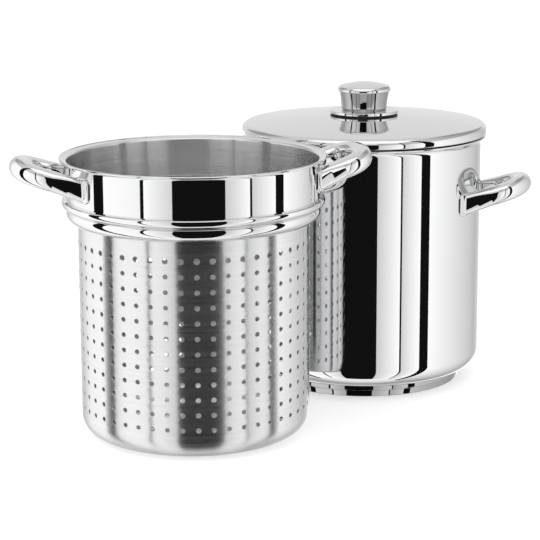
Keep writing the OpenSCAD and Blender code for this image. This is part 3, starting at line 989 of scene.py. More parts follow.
@dataclass
class Lid:
    """The crowned lid with its rolled edge, its gasket and its knob.

    Under and hem_under are how squarely a face has to look down for the satin finish of the lid's underside
    and for the hem's underside, which takes a dark steel as painted shade of the gap between the lid and the
    pot. The hem takes up hem_height.
    """

    polished: bpy.types.Material
    satin: bpy.types.Material
    hem_shade: bpy.types.Material
    rubber: bpy.types.Material
    knob_painted_shade: bpy.types.Material
    sheet: float = 0.0008
    crown: float = 0.008
    crown_steps: int = 24
    crease: float = 0.00025
    crease_inside: float = 0.0004
    edge_height: float = 0.0103
    edge_round: float = 0.007
    edge_width: float = 0.005
    edge_gap: float = 1.5
    hem_round: float = 0.0013
    hem_step: float = 0.0006
    hem_ease: float = 0.0004
    hem_end: Point = (0.0012, 0.0009)
    hem_bend: float = 0.0026
    hem_height: float = 0.004
    under: float = 0.3
    hem_under: float = 0.4
    bore: float = 0.00305
    gasket_bore: float = 0.0036
    gasket_round: float = 0.0005

    def __post_init__(self) -> None:
        """Takes the lid's outer sizes from the frame."""
        low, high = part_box("lid_shell")
        self.outer_r = high.x
        shelf = low.z + self.edge_height
        self.top_r = self.outer_r - self.edge_width
        self.crown_r = (self.top_r ** 2 + self.crown ** 2) / (2 * self.crown)
        self.crown_z = shelf + self.crown - self.crown_r
        self.roll_r = self.outer_r - self.edge_round
        self.roll_z = shelf - math.sqrt(self.edge_round ** 2 - (self.top_r - self.roll_r) ** 2)
        self.hem_z = low.z + self.hem_round

    def build(self) -> None:
        """Builds every piece of the lid."""
        self.shell()
        self.gasket()
        Knob(self.polished, self.satin, self.knob_painted_shade, self.bore).build()

    def crown_height(self, radius: float, drop: float = 0.0) -> float:
        """Gives the crown's height at a radius, or that of a line this far below it, square to it."""
        return self.crown_z + math.sqrt((self.crown_r - drop) ** 2 - radius ** 2)

    def crown_arc(self, profile: Profile, drop: float, start: float, end: float) -> Profile:
        """Draws the crown between two radii.

        Args:
            profile: The profile to draw on.
            drop: How far below the crown's outside.
            start: The radius that it starts at.
            end: The radius that it ends at.

        Returns:
            The same profile.
        """
        for i in range(self.crown_steps + 1):
            r = mix(start, end, i / self.crown_steps)
            profile.at(r, self.crown_height(r, drop))
        return profile

    def shell(self) -> None:
        """Turns the lid: its crown, its rolled edge and the hem turned under it."""
        profile = self.crown_arc(Profile(), 0.0, self.bore, self.top_r - self.crease)
        profile.at(self.top_r, self.crown_height(self.top_r))
        lean = math.degrees(math.acos((self.top_r - self.roll_r) / self.edge_round))
        roll = (self.roll_r, self.roll_z)
        profile.arc(roll, self.edge_round, lean - self.edge_gap, 0, steps=14)
        skirt = self.hem_z + self.hem_step
        profile.line(self.outer_r, skirt, self.hem_ease)
        profile.arc((self.outer_r - self.hem_round, skirt), self.hem_round, 0, -80, steps=6)
        profile.arc((self.outer_r - 2 * self.hem_round, self.hem_z), self.hem_round, -60, -270, steps=14)
        inner = self.outer_r - self.sheet
        profile.at(inner - self.hem_end[0], skirt + self.hem_end[1])
        profile.line(inner, self.hem_z + self.hem_bend, self.hem_ease)
        profile.arc(roll, self.edge_round - self.sheet, 0, lean, steps=14)
        self.crown_arc(profile, self.sheet, self.top_r - self.crease_inside, self.bore)
        bm = turned(profile, ORIGIN, steps=256)
        paint(bm, 1, self.is_satin)
        # The hem's underside gets the dark steel as painted shade, for the shadow in the gap between lid and
        # pot
        paint(bm, 2, self.is_hem_shaded)
        finishes = (self.polished, self.satin, self.hem_shade)
        Piece("lid_disc", Body.LID, Slot.POLISHED, ("lid_shell",), finishes, sharp=40.0).place(bm)

    def is_satin(self, face: bmesh.types.BMFace) -> bool:
        """Says whether a face belongs to the underside above the hem."""
        return face.normal.z < -self.under and face.calc_center_median().z > self.hem_z + self.hem_height

    def is_hem_shaded(self, face: bmesh.types.BMFace) -> bool:
        """Says whether a face belongs to the hem's underside, which takes a dark steel as painted shade."""
        return face.normal.z < -self.hem_under and face.calc_center_median().z < self.hem_z

    def gasket(self) -> None:
        """Turns the black gasket, whose underside follows the crown."""
        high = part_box("knob_gasket")[1]
        middle = (high.x - self.gasket_round, high.z - self.gasket_round)
        profile = self.crown_arc(Profile(), 0.0, self.gasket_bore, middle[0])
        profile.arc(middle, self.gasket_round, -60, 90, steps=8)
        profile.line(self.gasket_bore, high.z)
        ring = Piece("knob_gasket_ring", Body.LID, Slot.GASKET, ("knob_gasket",), (self.rubber,))
        ring.turn(profile, steps=192)


@dataclass
class Knob:
    """The turned knob: a stepped rosette, a flared body, a domed cap, and what holds them on the lid."""

    polished: bpy.types.Material
    satin: bpy.types.Material
    body_painted_shade: bpy.types.Material
    bore: float
    rosette_hub: float = 0.011
    rosette_sheet: float = 0.001
    rosette_round: float = 0.0005
    rosette_rim: float = 0.0015
    rosette_foot: float = 0.0011
    rosette_edge: float = 0.0001
    rosette_ease: float = 0.0002
    body_bore: float = 0.0056
    foot_r: float = 0.0209
    foot_lean: float = 20.0
    bevel: float = 0.0022
    bevel_edge: float = 0.0002
    low_r: float = 0.0214
    top_r: float = 0.024
    flare: float = 1.3
    side_steps: int = 16
    cap_lip: float = 0.0012
    cap_round: float = 0.0048
    cap_dome: float = 0.0029
    dome_steps: int = 18
    washer_edge: float = 0.0002
    head_height: float = 0.003
    head_round: float = 0.0012
    head_flat: float = 0.6
    head_face: float = 0.0009
    slot_width: float = 0.0011
    shank_r: float = 0.003
    thread_start: float = 0.002
    thread_pitch: float = 0.001
    thread_depth: float = 0.0003
    end_ease: float = 0.0001

    def build(self) -> None:
        """Builds every piece of the knob."""
        self.rosette()
        self.body()
        self.cap()
        self.bush()
        self.washer()
        self.screw()

    def rosette(self) -> None:
        """Turns the stepped rosette under the knob."""
        low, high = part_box("knob_rosette")
        radius, bottom, top = high.x, low.z, high.z
        hollow = top - self.rosette_sheet
        profile = Profile().at(self.bore, bottom).line(self.rosette_hub, bottom)
        profile.line(self.rosette_hub, hollow).line(radius - self.rosette_rim, hollow)
        profile.line(radius - self.rosette_foot, bottom, FINE)
        profile.line(radius - self.rosette_edge, bottom, self.rosette_ease)
        profile.foot_round(radius, bottom, self.rosette_edge, steps=3)
        profile.line(radius, top - self.rosette_round, self.rosette_ease)
        profile.top_round(radius, top, self.rosette_round, steps=8)
        profile.line(self.bore, top)
        disc = Piece(
            "knob_rosette_disc", Body.LID, Slot.POLISHED, ("knob_rosette",), (self.polished,), sharp=40.0)
        disc.turn(profile, steps=192)

    def body(self) -> None:
        """Turns the knob's body: a foot bevel, then a side that flares out more and more upwards."""
        low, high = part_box("knob_body")
        side_foot = low.z + self.bevel
        profile = Profile().at(self.body_bore, low.z).line(self.foot_r - FINE, low.z)
        profile.arc((self.foot_r - FINE, low.z + FINE), FINE, -90, -self.foot_lean, steps=4)
        profile.line(self.low_r, side_foot, FINE)
        edge = (self.low_r - self.bevel_edge, side_foot + 2 * self.bevel_edge)
        profile.arc(edge, self.bevel_edge, -self.foot_lean, 0, steps=3)
        start = side_foot + 3 * self.bevel_edge
        for i in range(self.side_steps + 1):
            f = i / self.side_steps
            profile.at(mix(self.low_r, self.top_r, f ** self.flare), mix(start, high.z, f))
        profile.line(self.body_bore, high.z)
        # The knob's side takes a darker steel as painted shade
        side = Piece(
            "knob_body_side", Body.LID, Slot.POLISHED, ("knob_body",), (self.body_painted_shade,), sharp=24.0)
        side.turn(profile, steps=192)

    def cap(self) -> None:
        """Turns the knob's domed cap: a small lip over the body, a full round edge and a creased dome."""
        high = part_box("knob_cap")[1]
        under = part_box("knob_body")[1].z
        edge_r = high.x - self.cap_round
        dome_r = (edge_r ** 2 + self.cap_dome ** 2) / (2 * self.cap_dome)
        profile = Profile().at(0.0, under).line(self.top_r, under)
        profile.foot_round(high.x, under, self.cap_lip, steps=10)
        profile.arc((edge_r, under + self.cap_lip), self.cap_round, 0, 90, steps=18)
        for i in range(1, self.dome_steps + 1):
            r = edge_r * (1 - i / self.dome_steps)
            profile.at(r, high.z - dome_r + math.sqrt(dome_r ** 2 - r ** 2))
        dome = Piece("knob_cap_dome", Body.LID, Slot.POLISHED, ("knob_cap",), (self.polished,), sharp=12.0)
        dome.turn(profile, steps=192)

    def bush(self) -> None:
        """Turns the bush round the screw."""
        low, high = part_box("knob_bush")
        profile = Profile().at(self.bore, low.z).line(high.x, low.z).line(high.x, high.z)
        profile.line(self.bore, high.z)
        tube = Piece("knob_bush_tube", Body.LID, Slot.POLISHED, ("knob_bush",), (self.satin,))
        tube.turn(profile, steps=64)

    def washer(self) -> None:
        """Turns the washer under the lid."""
        low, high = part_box("knob_washer")
        profile = Profile().at(self.bore, low.z).line(high.x - self.washer_edge, low.z)
        profile.foot_round(high.x, low.z, self.washer_edge, steps=3)
        profile.line(high.x, high.z).line(self.bore, high.z)
        ring = Piece("knob_washer_ring", Body.LID, Slot.SATIN, ("knob_washer",), (self.satin,))
        ring.turn(profile, steps=96)

    def screw(self) -> None:
        """Turns the screw and cuts the slot in its head."""
        low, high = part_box("knob_screw")
        head_top = low.z + self.head_height
        profile = Profile().at(0.0, low.z + FINE).line(high.x * self.head_flat, low.z + FINE)
        profile.foot_round(high.x, low.z, self.head_round, steps=8)
        profile.line(high.x, head_top).line(self.shank_r, head_top)
        root = self.shank_r - self.thread_depth
        z = head_top + self.thread_start
        while z < high.z - self.thread_pitch:
            profile.at(self.shank_r, z).at(root, z + self.thread_pitch / 2)
            z += self.thread_pitch
        profile.at(self.shank_r, z).line(root, high.z, self.end_ease).line(0.0, high.z)
        bm = turned(profile, ORIGIN, steps=48)
        half = self.slot_width / 2
        for side in (-half, half):
            cut(bm, (0.0, side, 0.0), (0.0, 1.0, 0.0))
        for vert in bm.verts:
            if abs(vert.co.y) < half - MERGE and vert.co.z < low.z + self.head_face:
                vert.co.z = low.z + self.head_height / 2
        Piece("knob_screw_pin", Body.LID, Slot.SATIN, ("knob_screw",), (self.satin,), sharp=24.0).place(bm)


# The strainer insert


@dataclass
class Insert:
    """The strainer insert: a bright collar with a seat bead and a shoulder over a perforated satin basket.

    Inwards is how squarely a face of the collar has to look at the axis for the satin finish of the inside,
    and no such face is further than collar_band out from the collar's wall.
    """

    polished: bpy.types.Material
    brushed: bpy.types.Material
    satin: bpy.types.Material
    centre: Vector
    turn: float
    sheet: float = 0.0008
    collar_r: float = 0.1083
    collar_band: float = 0.002
    inwards: float = 0.2
    flare: float = 0.0055
    flare_turn: float = 75.0
    flare_curl: float = 0.0022
    bead_r: float = 0.1129
    bead_z: float = 0.2036
    bead_round: float = 0.0044
    bead_crest: float = 20.0
    bead_top: float = 0.0014
    bead_shelf: float = 5.0
    shoulder_r: float = 0.1091
    shoulder_z: float = 0.1946
    shoulder_round: float = 0.0065
    shoulder_hip: float = -25.0
    shoulder_gap: float = 3.0
    shoulder_under: float = 0.0095
    sleeve_lap: float = 0.0048
    sleeve_lip: float = 0.0004
    basket_r: float = 0.0994
    basket_corner: float = 0.017
    corner_levels: int = 14
    top_levels: int = 3
    hole_r: float = 0.002
    hole_edge: float = 0.00014
    hole_edge_angle: float = math.radians(50.0)
    top_row_share: float = 1.18
    columns: int = 48
    rows: int = 12
    first_row: float = 0.027
    row_pitch: float = 0.013
    phase: float = math.radians(-2.4)
    ring_pitch: float = 0.013
    ring_holes: int = 6
    rings: int = 6
    handle_height: float = 0.224
    cell_side: int = 4
    land: float = 0.0005

    def build(self) -> None:
        """Builds every piece of the insert."""
        self.collar()
        self.basket()
        HandlePair(
            "insert", Body.INSERT, self.collar_r, self.handle_height, self.centre, self.turn, self.polished
        ).build()

    def collar(self) -> None:
        """Turns the collar: a sleeve, a rounded shoulder, the seat bead, a straight wall and a flared rim."""
        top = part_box("insert_collar")[1].z
        foot = self.shoulder_foot
        sleeve_r = self.basket_r + self.sheet
        sleeve_top = foot + self.sleeve_lap + self.sleeve_lip
        rim = FlaredRim(self.collar_r, top, self.flare, self.flare_turn, self.sheet, curl=self.flare_curl)
        outside = Profile().at(sleeve_r, sleeve_top).line(sleeve_r, foot + FINE, FINE)
        self.beads(outside, 0.0)
        rim.draw(outside)
        inside = Profile().at(self.basket_r, sleeve_top).line(self.basket_r, foot + self.sheet)
        self.beads(inside, self.sheet)
        outside.join(inside)
        bm = turned(outside, self.centre, steps=256)
        paint(bm, 1, self.is_inside)
        finishes = (self.polished, self.satin)
        ring = Piece(
            "insert_collar_ring", Body.INSERT, Slot.POLISHED, ("insert_collar",), finishes, sharp=44.0)
        ring.place(bm)

    def beads(self, profile: Profile, inset: float) -> Profile:
        """Draws the shoulder and the seat bead up to the straight wall.

        Args:
            profile: The profile to draw on, which has come to the foot of the shoulder.
            inset: 0 for the outside of the sheet, or its thickness for the inside.

        Returns:
            The same profile.
        """
        wall = self.collar_r - inset
        shoulder = (self.shoulder_r - self.shoulder_round, self.shoulder_z)
        bead = (self.bead_r - self.bead_round, self.bead_z)
        shoulder_end, bead_start = self.meeting(shoulder, bead)
        profile.arc(self.shoulder_below(), self.shoulder_under - inset, -90, self.shoulder_hip, steps=14)
        start = self.shoulder_hip + self.shoulder_gap
        profile.arc(shoulder, self.shoulder_round - inset, start, shoulder_end, steps=18)
        profile.arc(bead, self.bead_round - inset, bead_start, self.bead_crest, steps=24)
        crest, shelf = math.radians(self.bead_crest), math.radians(self.bead_shelf)
        moved = self.bead_round - self.bead_top
        top = (bead[0] + moved * math.cos(crest), bead[1] + moved * math.sin(crest))
        radius = self.bead_top - inset
        profile.arc(top, radius, self.bead_crest, 90 - self.bead_shelf, steps=10)
        inner_end = top[0] + radius * math.sin(shelf)
        profile.line(wall, top[1] + radius * math.cos(shelf) + (inner_end - wall) * math.tan(shelf), FINE)
        return profile

    @property
    def shoulder_foot(self) -> float:
        """The height of the shoulder's lowest line."""
        return self.shoulder_below()[1] - self.shoulder_under

    def shoulder_below(self) -> Point:
        """Gives the middle of the wider round under the shoulder, which runs on from the upper one."""
        hip = math.radians(self.shoulder_hip)
        wider = self.shoulder_under - self.shoulder_round
        middle_r = self.shoulder_r - self.shoulder_round
        return middle_r - wider * math.cos(hip), self.shoulder_z - wider * math.sin(hip)

    def meeting(self, shoulder: Point, bead: Point) -> Pair:
        """Finds where the shoulder's round and the bead's round cross on the outside.

        Args:
            shoulder: The middle of the shoulder's round.
            bead: The middle of the bead's round.

        Returns:
            The directions of the crossing in degrees, from the shoulder's middle and from the bead's.
        """
        across, up = bead[0] - shoulder[0], bead[1] - shoulder[1]
        apart = math.hypot(across, up)
        along = (apart ** 2 + self.shoulder_round ** 2 - self.bead_round ** 2) / (2 * apart)
        direction = math.degrees(math.atan2(up, across))
        first = direction - math.degrees(math.acos(along / self.shoulder_round))
        second = direction - 180 + math.degrees(math.acos((apart - along) / self.bead_round))
        return first, second

    def is_inside(self, face: bmesh.types.BMFace) -> bool:
        """Says whether a face of the collar looks towards its axis, below the flare."""
        outwards = face.calc_center_median() - self.centre
        outwards.z = 0.0
        within = outwards.length < self.collar_r + self.collar_band
        return within and face.normal.dot(outwards.normalized()) < -self.inwards

    def basket(self) -> None:
        """Makes the perforated basket from drilled cells, and gives it its thickness."""
        bm = self.unrolled_wall()
        self.roll(bm)
        bmesh.ops.remove_doubles(bm, verts=bm.verts, dist=MERGE)
        self.drilled_bottom(bm)
        bmesh.ops.recalc_face_normals(bm, faces=bm.faces)
        if sum(face.normal.dot(face.calc_center_median() - self.centre) for face in bm.faces) < 0.0:
            bmesh.ops.reverse_faces(bm, faces=bm.faces)
        finishes = (self.brushed, self.satin)
        piece = Piece(
            "insert_basket_wall", Body.INSERT, Slot.SATIN, ("insert_basket",), finishes, sharp=40.0)
        made = piece.place(bm)
        wall = made.modifiers.new("thickness", "SOLIDIFY")
        wall.thickness = self.sheet
        wall.offset = -1.0
        wall.use_even_offset = True
        wall.material_offset = 1
        edge = made.modifiers.new("hole edges", "BEVEL")
        edge.width = self.hole_edge
        edge.segments = 1
        edge.limit_method = "ANGLE"
        edge.angle_limit = self.hole_edge_angle
        edge.harden_normals = False

    @property
    def corner_length(self) -> float:
        """Length of the rounded corner along the sheet."""
        return self.basket_corner * math.pi / 2

    def unrolled_wall(self) -> bmesh.types.BMesh:
        """Lays the wall out flat: X runs round it, and Y up along the sheet from the foot of the corner.

        Returns:
            The flat wall, with its holes.
        """
        bm = bmesh.new()
        width = math.tau * self.basket_r / self.columns
        cell = self.drilled_cell(bm, width, self.row_pitch)
        row = list(cell)
        for column in range(1, self.columns):
            row += self.copied(bm, cell, Vector((column * width, 0.0, 0.0)))
        for level in range(1, self.rows):
            self.copied(bm, row, Vector((0.0, level * self.row_pitch, 0.0)))
        self.widen_top_row(bm, width)
        lift = self.corner_length + self.first_row - self.basket_corner
        bmesh.ops.translate(bm, vec=(0.0, lift, 0.0), verts=bm.verts)
        low_edge = lift - self.row_pitch / 2
        top_edge = lift + (self.rows - 0.5) * self.row_pitch
        top = self.corner_length + self.shoulder_foot + self.sleeve_lap - self.basket_corner
        round_length = width * self.columns
        self.plain_band(bm, 0.0, self.corner_length, round_length, self.corner_levels)
        self.plain_band(bm, self.corner_length, low_edge, round_length, 1)
        self.plain_band(bm, top_edge, top, round_length, self.top_levels)
        bmesh.ops.remove_doubles(bm, verts=bm.verts, dist=SEAM)
        return bm

    def drilled_cell(self, bm: bmesh.types.BMesh, width: float, height: float) -> list:
        """Makes one flat cell with a hole in its middle.

        Args:
            bm: The bmesh to add it to, which is empty.
            width: The cell's width.
            height: The cell's height.

        Returns:
            The cell's vertices, edges and faces.
        """
        side = self.cell_side
        middle = [v for v in flat_sheet(bm, width, height, side, side) if not v.is_boundary]
        bmesh.ops.delete(bm, geom=middle, context="VERTS")
        loops = [list(bm.edges)]
        for radius in (self.hole_r + self.land, self.hole_r):
            ring = bmesh.ops.create_circle(bm, cap_ends=False, segments=4 * side, radius=radius)["verts"]
            loops.append(list({e for v in ring for e in v.link_edges}))
        for outer, inner in zip(loops, loops[1:]):
            bmesh.ops.bridge_loops(bm, edges=outer + inner)
        return everything(bm)

    def widen_top_row(self, bm: bmesh.types.BMesh, width: float) -> None:
        """Widens the holes of the top row, which are a little larger than the others.

        Args:
            bm: The flat wall, with the lowest row of holes at height 0.
            width: The width of a cell.
        """
        reach = self.hole_r + self.land + SEAM
        level = (self.rows - 1) * self.row_pitch
        for vert in bm.verts:
            offset = Vector((vert.co.x - round(vert.co.x / width) * width, vert.co.y - level, 0.0))
            if offset.length < reach:
                vert.co += offset * (self.top_row_share - 1)

    def copied(self, bm: bmesh.types.BMesh, geometry: list, step: Vector) -> list:
        """Copies some geometry a step away.

        Args:
            bm: The bmesh.
            geometry: What to copy.
            step: How far.

        Returns:
            The copy.
        """
        made = bmesh.ops.duplicate(bm, geom=geometry)["geom"]
        bmesh.ops.translate(bm, vec=step, verts=[g for g in made if isinstance(g, bmesh.types.BMVert)])
        return made

    def plain_band(self, bm: bmesh.types.BMesh, low: float, high: float, length: float, levels: int) -> None:
        """Adds a band of sheet without holes.

        Args:
            bm: The bmesh.
            low: Where the band starts, along the sheet.
            high: Where it ends.
            length: The length round the wall.
            levels: How many faces the band is high.
        """
        made = flat_sheet(bm, length, high - low, self.columns * self.cell_side, levels)
        middle = length / 2 - length / self.columns / 2
        bmesh.ops.translate(bm, vec=(middle, (low + high) / 2, 0.0), verts=made)

    def roll(self, bm: bmesh.types.BMesh) -> None:
        """Rolls the flat wall round the axis and bends its foot in.

        Args:
            bm: The flat wall.
        """
        foot_r = self.basket_r - self.basket_corner
        for vert in bm.verts:
            along = vert.co.y
            r, z = self.basket_r, self.basket_corner + along - self.corner_length
            if along < self.corner_length:
                bend = along / self.basket_corner
                r = foot_r + self.basket_corner * math.sin(bend)
                z = self.basket_corner * (1 - math.cos(bend))
            vert.co = on_circle(self.centre, r, self.turn + self.phase + vert.co.x / self.basket_r, z)

    def drilled_bottom(self, bm: bmesh.types.BMesh) -> None:
        """Fills the bottom with sheet round its rings of holes.

        Args:
            bm: The rolled wall, whose lowest open edge is the bottom's outline.
        """
        outline = [e for e in bm.edges if e.is_boundary and max(v.co.z for v in e.verts) < MERGE * 10]
        edges = list(outline)
        for place in self.bottom_holes():
            made = bmesh.ops.create_circle(
                bm, cap_ends=False, segments=4 * self.cell_side, radius=self.hole_r,
                matrix=Matrix.Translation(self.centre + place),
            )["verts"]
            edges += list({e for v in made for e in v.link_edges})
        bmesh.ops.triangle_fill(bm, use_beauty=True, use_dissolve=False, edges=edges)

    def bottom_holes(self) -> list[Vector]:
        """Gives the middle of each hole in the bottom, counted from the axis."""
        places = [ORIGIN]
        for ring in range(1, self.rings + 1):
            count = self.ring_holes * ring
            for k in range(count):
                a = self.turn + k * math.tau / count
                places.append(Vector((math.cos(a), math.sin(a), 0.0)) * ring * self.ring_pitch)
        return places


# The studio


@dataclass(frozen=True)
class Panel:
    """An upright piece of the light tent, between two lines.

    A place is given to the right of the pot and towards the camera, with its height. The tones are how bright
    the cloth looks in the metal at each end, where 1 is white, and its foot can be darker by a share.
    """

    start: Point
    end: Point
    tones: Pair
    low: float
    high: float
    foot: float = 1.0


@dataclass(frozen=True)
class Strip:
    """A level piece of the light tent: where it starts and ends towards the camera, and its tones there."""

    height: float
    start: float
    end: float
    tones: Pair


@dataclass
class Studio:
    """The pale floor, the light tent that the metal mirrors, the soft light and the camera."""

    azimuth: float = math.radians(14.0)
    pitch: float = math.radians(12.69)
    roll: float = math.radians(-0.218)
    place: Place = (0.3464, -1.7583, 0.503)
    lens: float = 127.27
    sensor: float = 36.0
    view_end: float = 100.0
    floor_size: float = 40.0
    floor_tone: float = 0.97
    floor_lift: float = 0.38
    surround: float = 0.86
    lamp_place: Place = (-0.9, -0.6, 2.4)
    lamp_aim: Place = (0.0, 0.0, 0.1)
    lamp_size: float = 2.4
    lamp_power: float = 9.0
    glow: float = 1.38
    dark: float = 0.0055
    seam: float = 0.022
    right: float = 0.385
    left: float = -0.541
    front: float = 0.697
    corner: float = 0.628
    back: float = -0.75
    opening: Pair = (-0.289, 0.119)
    right_slit: Pair = (0.338, 0.252)
    left_slit: Pair = (0.211, 0.289)
    strip_sides: Pair = (-0.6, 0.45)
    ceiling: float = 0.85
    lintel: float = 0.5
    cornice: float = 0.42
    ground: float = -1.0
    sweep: float = 0.17
    dado: float = -0.1
    dado_shade: float = 0.5
    shade: float = 0.58
    opening_top: float = 0.63

    def build(self) -> None:
        """Builds the whole studio."""
        self.camera()
        self.floor()
        self.world()
        self.lamp()
        self.tent()

    def camera(self) -> None:
        """Puts the camera where the photograph was taken from."""
        data = bpy.data.cameras.new("camera")
        data.lens = self.lens
        data.sensor_width = self.sensor
        data.clip_end = self.view_end
        made = added("camera", data)
        turn = Matrix.Rotation(self.azimuth, 4, "Z") @ Matrix.Rotation(math.pi / 2 - self.pitch, 4, "X")
        made.matrix_world = Matrix.Translation(self.place) @ turn @ Matrix.Rotation(self.roll, 4, "Z")
        bpy.context.scene.camera = made

    def floor(self) -> None:
        """Lays the pale floor. Metal mirrors the light tent below it in its place."""
        bm = bmesh.new()
        flat_sheet(bm, self.floor_size, self.floor_size, 1, 1)
        shader = Shader("floor")
        tone = self.floor_tone
        matt = shader.feed(shader.add("BsdfDiffuse"), Color=(tone, tone, tone, 1.0))
        seen = shader.add("LightPath").outputs["Is Camera Ray"]
        lift = shader.feed(shader.add("Emission"), Strength=shader.maths("MULTIPLY", seen, self.floor_lift))
        made = self.staged("floor", bm, shader.close(matt, lift))
        made.visible_glossy = False

    def staged(self, name: str, bm: bmesh.types.BMesh, material: bpy.types.Material) -> bpy.types.Object:
        """Adds a piece of the studio to the scene.

        Args:
            name: Its name.
            bm: Its shape, which is freed.
            material: Its material.

        Returns:
            The new object.
        """
        made = meshed(name, bm, [material])
        return made

    def world(self) -> None:
        """Makes the white surroundings, which the camera sees as plain white."""
        world = bpy.data.worlds.new("surroundings")
        bpy.context.scene.world = world
        world.use_nodes = True
        tree = world.node_tree
        tree.nodes.clear()
        output, seen, light, rays, mixed = [
            tree.nodes.new("ShaderNode" + kind)
            for kind in ("OutputWorld", "Background", "Background", "LightPath", "MixShader")
        ]
        for node in (seen, light):
            node.inputs["Color"].default_value = WHITE
        light.inputs["Strength"].default_value = self.surround
        tree.links.new(rays.outputs["Is Camera Ray"], mixed.inputs[0])
        tree.links.new(light.outputs[0], mixed.inputs[1])
        tree.links.new(seen.outputs[0], mixed.inputs[2])
        tree.links.new(mixed.outputs[0], output.inputs["Surface"])

    def lamp(self) -> None:
        """Hangs one large soft lamp over the table, a little to the left."""
        data = bpy.data.lights.new("soft lamp", "AREA")
        data.shape = "DISK"
        data.size = self.lamp_size
        data.energy = self.lamp_power
        made = added("soft lamp", data)
        made.location = self.lamp_place
        made.rotation_euler = (Vector(self.lamp_aim) - made.location).to_track_quat("-Z", "Y").to_euler()
        made.visible_glossy = False

    def plan(self) -> list[tuple[Point, Pair]]:
        """Gives the foot of the tent's upright cloth, in order round it from the camera's side.

        Returns:
            For each stretch the place that it starts from, and its tones there and at its end, which is the
            place that the next one starts from.
        """
        right, left, front, corner, back = self.right, self.left, self.front, self.corner, self.back
        gap = self.seam / 2
        dark = (self.dark, self.dark)
        return [
            ((self.opening[0], front), dark),
            ((self.opening[1], front), (0.6, 1.0)),
            ((right - gap, corner), dark),
            ((right, corner - 2 * gap), (0.62, 1.0)),
            ((right, self.right_slit[0]), dark),
            ((right, self.right_slit[1]), (1.0, 0.68)),
            ((right, -0.05), (0.68, 0.46)),
            ((right, -0.3), (0.46, 0.64)),
            ((right, back), (0.62, 0.62)),
            ((left, back), (0.64, 0.5)),
            ((left, -0.25), (0.5, 0.92)),
            ((left, 0.0), (0.92, 1.0)),
            ((left, self.left_slit[0]), dark),
            ((left, self.left_slit[1]), (1.0, 0.9)),
            ((left, corner - gap), dark),
            ((left + 3 * gap, corner), (1.0, 0.66)),
        ]

    def walls(self) -> list[Panel]:
        """Raises the tent's upright cloth, with shaded cloth over it and darker feet along its sides."""
        plan = self.plan()
        panels = []
        for (start, tones), (end, _) in zip(plan, plan[1:] + plan[:1]):
            if start[1] == end[1] == self.back:
                panels.append(Panel(start, end, tones, self.sweep, self.ceiling))
                panels.append(Panel(start, end, (1.0, 1.0), self.ground, self.sweep))
                continue
            side = start[0] == end[0] and start[1] <= self.right_slit[1]
            opening = start[1] == end[1] == self.front
            low = self.dado if side else self.ground
            high = self.lintel if opening else self.cornice
            panels.append(Panel(start, end, tones, low, high))
            if side:
                panels.append(Panel(start, end, tones, self.ground, low, self.dado_shade))
            if opening:
                upper = (self.opening_top, self.opening_top)
            elif max(tones) == self.dark:
                upper = tones
            else:
                upper = (tones[0] * self.shade, tones[1] * self.shade)
            panels.append(Panel(start, end, upper, high, self.ceiling))
        return panels

    def strips(self) -> list[Strip]:
        """Gives the tent's ceiling and its ground, each from the camera's side to the far side."""
        return [
            Strip(self.ceiling, 0.75, 0.1, (1.0, 1.0)),
            Strip(self.ceiling, 0.1, 0.07, (self.dark, self.dark)),
            Strip(self.ceiling, 0.07, -0.3, (0.62, 0.58)),
            Strip(self.ceiling, -0.3, -0.8, (0.58, 0.68)),
            # The ground darkens towards the middle, under the pots, as painted shade for the floor's shadow
            # near their bases
            Strip(self.ground, 0.75, 0.3, (0.95, 0.75)),
            Strip(self.ground, 0.3, -0.1, (0.75, 0.3)),
            Strip(self.ground, -0.1, -0.8, (0.3, 0.6)),
        ]

    def tent(self) -> None:
        """Puts up the light tent, which only mirror rays see."""
        right = Vector((math.cos(self.azimuth), math.sin(self.azimuth), 0.0))
        near = Vector((math.sin(self.azimuth), -math.cos(self.azimuth), 0.0))
        bm = bmesh.new()
        layer = bm.loops.layers.float_color.new("tone")
        for panel in self.walls():
            start = right * panel.start[0] + near * panel.start[1]
            end = right * panel.end[0] + near * panel.end[1]
            first, last = panel.tones
            self.cloth_face(bm, layer, [
                (start, panel.low, first * panel.foot), (end, panel.low, last * panel.foot),
                (end, panel.high, last), (start, panel.high, first),
            ])
        west, east = [right * side for side in self.strip_sides]
        for strip in self.strips():
            start, end = near * strip.start, near * strip.end
            first, last = strip.tones
            self.cloth_face(bm, layer, [
                (west + start, strip.height, first), (east + start, strip.height, first),
                (east + end, strip.height, last), (west + end, strip.height, last),
            ])
        made = self.staged("light tent", bm, self.cloth())
        made.visible_camera = False
        made.visible_diffuse = False
        made.visible_shadow = False
        made.visible_transmission = False
        made.visible_volume_scatter = False

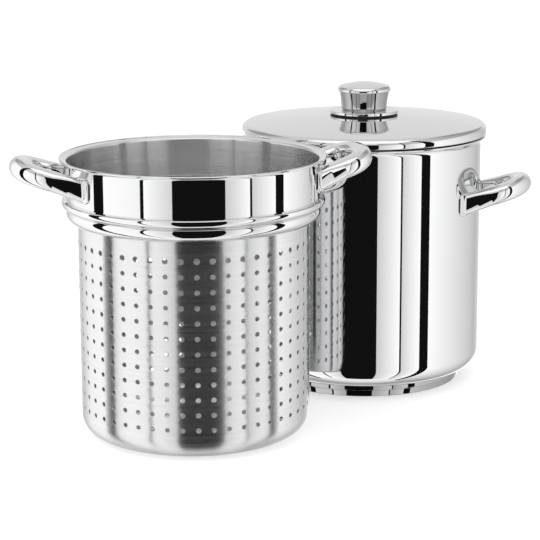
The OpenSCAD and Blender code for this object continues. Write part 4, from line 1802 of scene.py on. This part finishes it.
    def cloth_face(
        self, bm: bmesh.types.BMesh, layer: object, places: Sequence[tuple[Vector, float, float]]
    ) -> None:
        """Adds one face of the tent.

        Args:
            bm: The tent.
            layer: The layer that holds how bright the cloth is.
            places: For each corner its place on the plan, its height and its brightness.
        """
        face = bm.faces.new([bm.verts.new(place + UP * height) for place, height, _ in places])
        for loop, (_, _, tone) in zip(face.loops, places):
            loop[layer] = (tone, tone, tone, 1.0)

    def cloth(self) -> bpy.types.Material:
        """Makes the tent's glowing cloth."""
        shader = Shader("tent cloth")
        colour = shader.add("VertexColor", layer_name="tone").outputs["Color"]
        material = shader.close(shader.feed(shader.add("Emission"), Color=colour, Strength=self.glow))
        material.cycles.emission_sampling = "NONE"
        return material


def main() -> None:
    """Builds the pot, its lid and its insert, and the studio round them."""
    logging.basicConfig(level=logging.INFO, format="%(message)s")
    bpy.context.scene.view_settings.view_transform = "Standard"
    low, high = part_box("insert_collar")
    insert_axis = Vector(((low.x + high.x) / 2, (low.y + high.y) / 2, 0.0))
    pot_polish = PolishedSteel("polished steel of the pot", ORIGIN).material()
    pot_satin = SatinSteel("satin steel of the pot", ORIGIN).material()
    insert_polish = PolishedSteel("polished steel of the insert", insert_axis).material()
    insert_brush = SatinSteel(
        "brushed steel of the basket", insert_axis, roughness=0.23, drawn_out=1.0).material()
    insert_satin = SatinSteel(
        "satin steel inside the insert", insert_axis, tone=PolishedSteel.tone, roughness=0.19,
        drawn_out=1.0).material()
    # The base cap's steel is darker as painted shade: it stands in for the floor's contact shadow that it
    # mirrors
    shaded = PolishedSteel("polished steel of the base, darkened as painted shade", ORIGIN, tone=(0.4, 0.402, 0.405)).material()
    Pot(pot_polish, shaded, pot_satin, CastAluminium().material()).build()
    # Near-black steel for the hem's underside, painted shade for the shadow between the lid and the pot
    hem_shade = SatinSteel("dark steel of the hem as painted shade", ORIGIN, tone=(0.12, 0.12, 0.12)).material()
    # The knob's steel is darker as painted shade, so that its body looks greyer
    knob_painted_shade = PolishedSteel("polished steel of the knob, darkened as painted shade", ORIGIN, tone=(0.5, 0.502, 0.506)).material()
    Lid(pot_polish, pot_satin, hem_shade, BlackRubber().material(), knob_painted_shade).build()
    Insert(insert_polish, insert_brush, insert_satin, insert_axis, turn=math.radians(27.3)).build()
    Studio().build()


if __name__ == "__main__":
    main()
